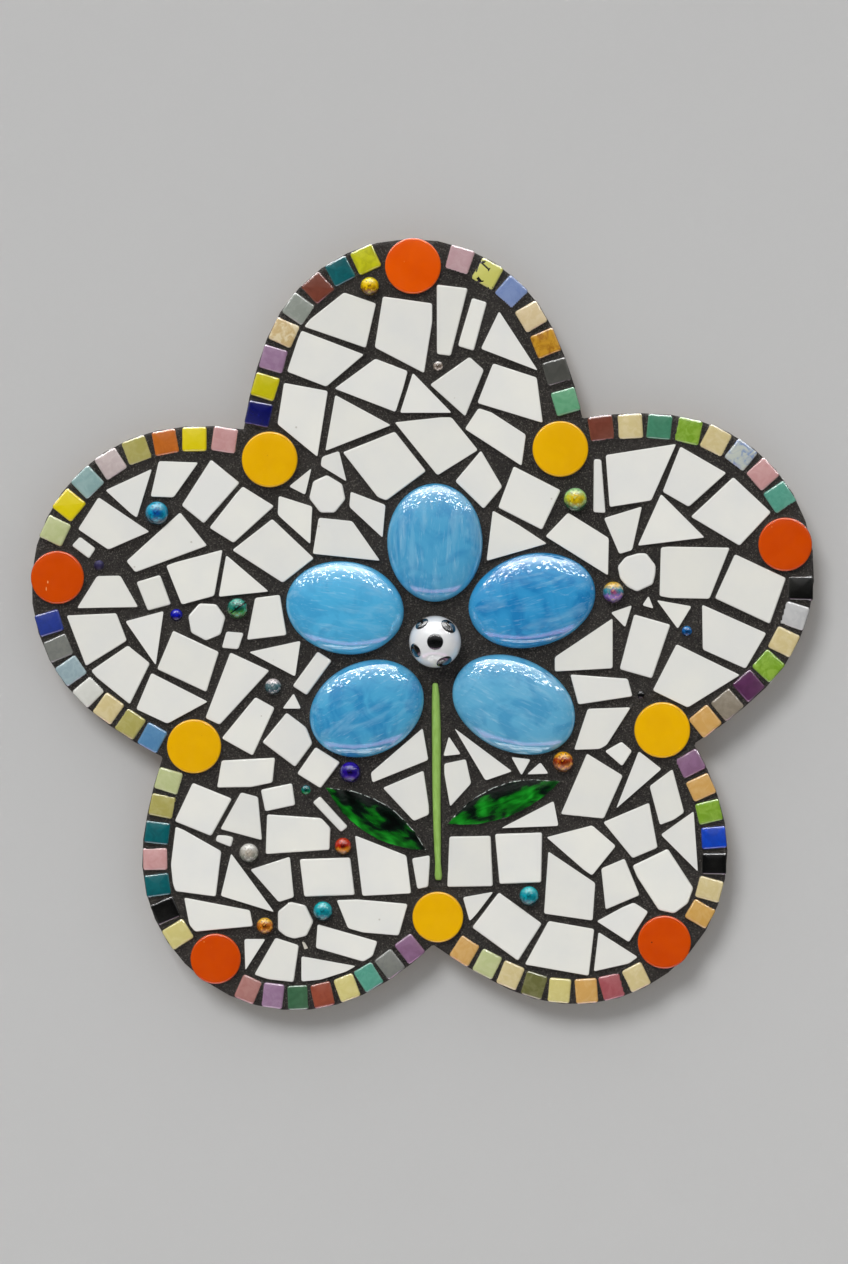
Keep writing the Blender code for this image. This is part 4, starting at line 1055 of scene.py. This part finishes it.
def pieceDistance(points):  # to the nearest tile, leaf, gem, disc or bead, below 0 under it
    nearest = np.full(len(points), far)

    def take(low, high, measure):
        reach = 3 * mm
        here = np.all((points > np.array(low) - reach) & (points < np.array(high) + reach), axis=1)
        nearest[here] = np.minimum(nearest[here], measure(points[here]))

    for outline in tileOutlines + [topOutlines(node)[0][0] for node in ("leaf_left", "leaf_right")]:
        xs, ys = [p.x for p in outline], [p.y for p in outline]
        take((min(xs), min(ys)), (max(xs), max(ys)), lambda some: convexDistance(some, outline))
    for x, y, length, width, turn, _, _ in gem.values():
        middle, half = np.array((x, y)) * mm, np.array((length, width)) * mm / 2
        take(middle - half.max(), middle + half.max(),
             lambda some: ovalDistance(some, middle, half, math.radians(turn)))
    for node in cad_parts:
        if "_disc_" in node or node.startswith("bead_") or node == "centre_bead":
            middle, half, _, _ = flatBox(node)
            middle = np.array(middle)
            radius = max(half) * (1 if "_disc_" in node else grout["beadHold"])
            take(middle - radius, middle + radius, lambda some: np.hypot(*(some - middle).T) - radius)
    return nearest


def stemDistance(points):  # to the side of the rod, ring by ring
    nearest = np.full(len(points), far)
    for (x, y, radius), (nextX, nextY, nextRadius) in zip(stemRod["rings"], stemRod["rings"][1:]):
        piece = [Vector((x, y)) * mm, Vector((nextX, nextY)) * mm]
        nearest = np.minimum(nearest, edgeDistance(points, piece)[0] - (radius + nextRadius) / 2 * mm)
    return nearest


def buildGrout():
    skirtTop = groutTop - grout["rimDrop"]
    bm = slabFromOutline(boardOutline, bedBase - grout["skirtDown"], skirtTop)
    middle, half, _, _ = flatBox("backing_board")
    low, high = middle - half, middle + half
    size = max(high - low) / 2 + 2 * mm
    count = int(2 * size / grout["cell"])
    grid = bmesh.new()
    bmesh.ops.create_grid(grid, x_segments=count, y_segments=count, size=size)
    moved(grid, (*((low + high) / 2), 0))
    points = np.array([v.co.xy for v in grid.verts])
    fromRim, footing, inside = edgeDistance(points, boardOutline)
    fromTile = pieceDistance(points)
    fromStem = stemDistance(points)
    keep = inside | (fromRim < grout["cell"])
    keep &= (fromTile > -grout["underTile"]) & (fromStem > -grout["underStem"])
    sand = np.random.default_rng(grout["seed"]).normal(0, grout["sand"], len(points))

    def near(away):  # 1 at a piece's edge, fading over the climb
        return math.exp(-(max(0.0, away) / grout["climbReach"]) ** 2)

    for v, rimAway, foot, isIn, away, stemAway, grit, kept in zip(
            grid.verts, fromRim, footing, inside, fromTile, fromStem, sand, keep):
        if not kept:
            v.tag = True
        elif not isIn:
            v.co = Vector((foot[0], foot[1], skirtTop))
        else:
            rise = grout["climb"] * near(away) - grout["hollow"] - grout["stemDip"] * near(stemAway)
            swell = noise.noise(Vector((v.co.x, v.co.y, 0)) * grout["swellScale"])
            rise += grout["swell"] * swell + grit
            edge = max(0.0, 1 - rimAway / grout["rimReach"])
            v.co.z = groutTop + rise * (1 - edge) - grout["rimDrop"] * edge ** 2
    bmesh.ops.delete(grid, geom=[v for v in grid.verts if v.tag], context="VERTS")
    addTo(bm, grid)
    finishPiece(bm, "grout_bed", groutMaterial(), ["grout_and_tiles"], sharp=60)


buildGrout()
print("grout built")
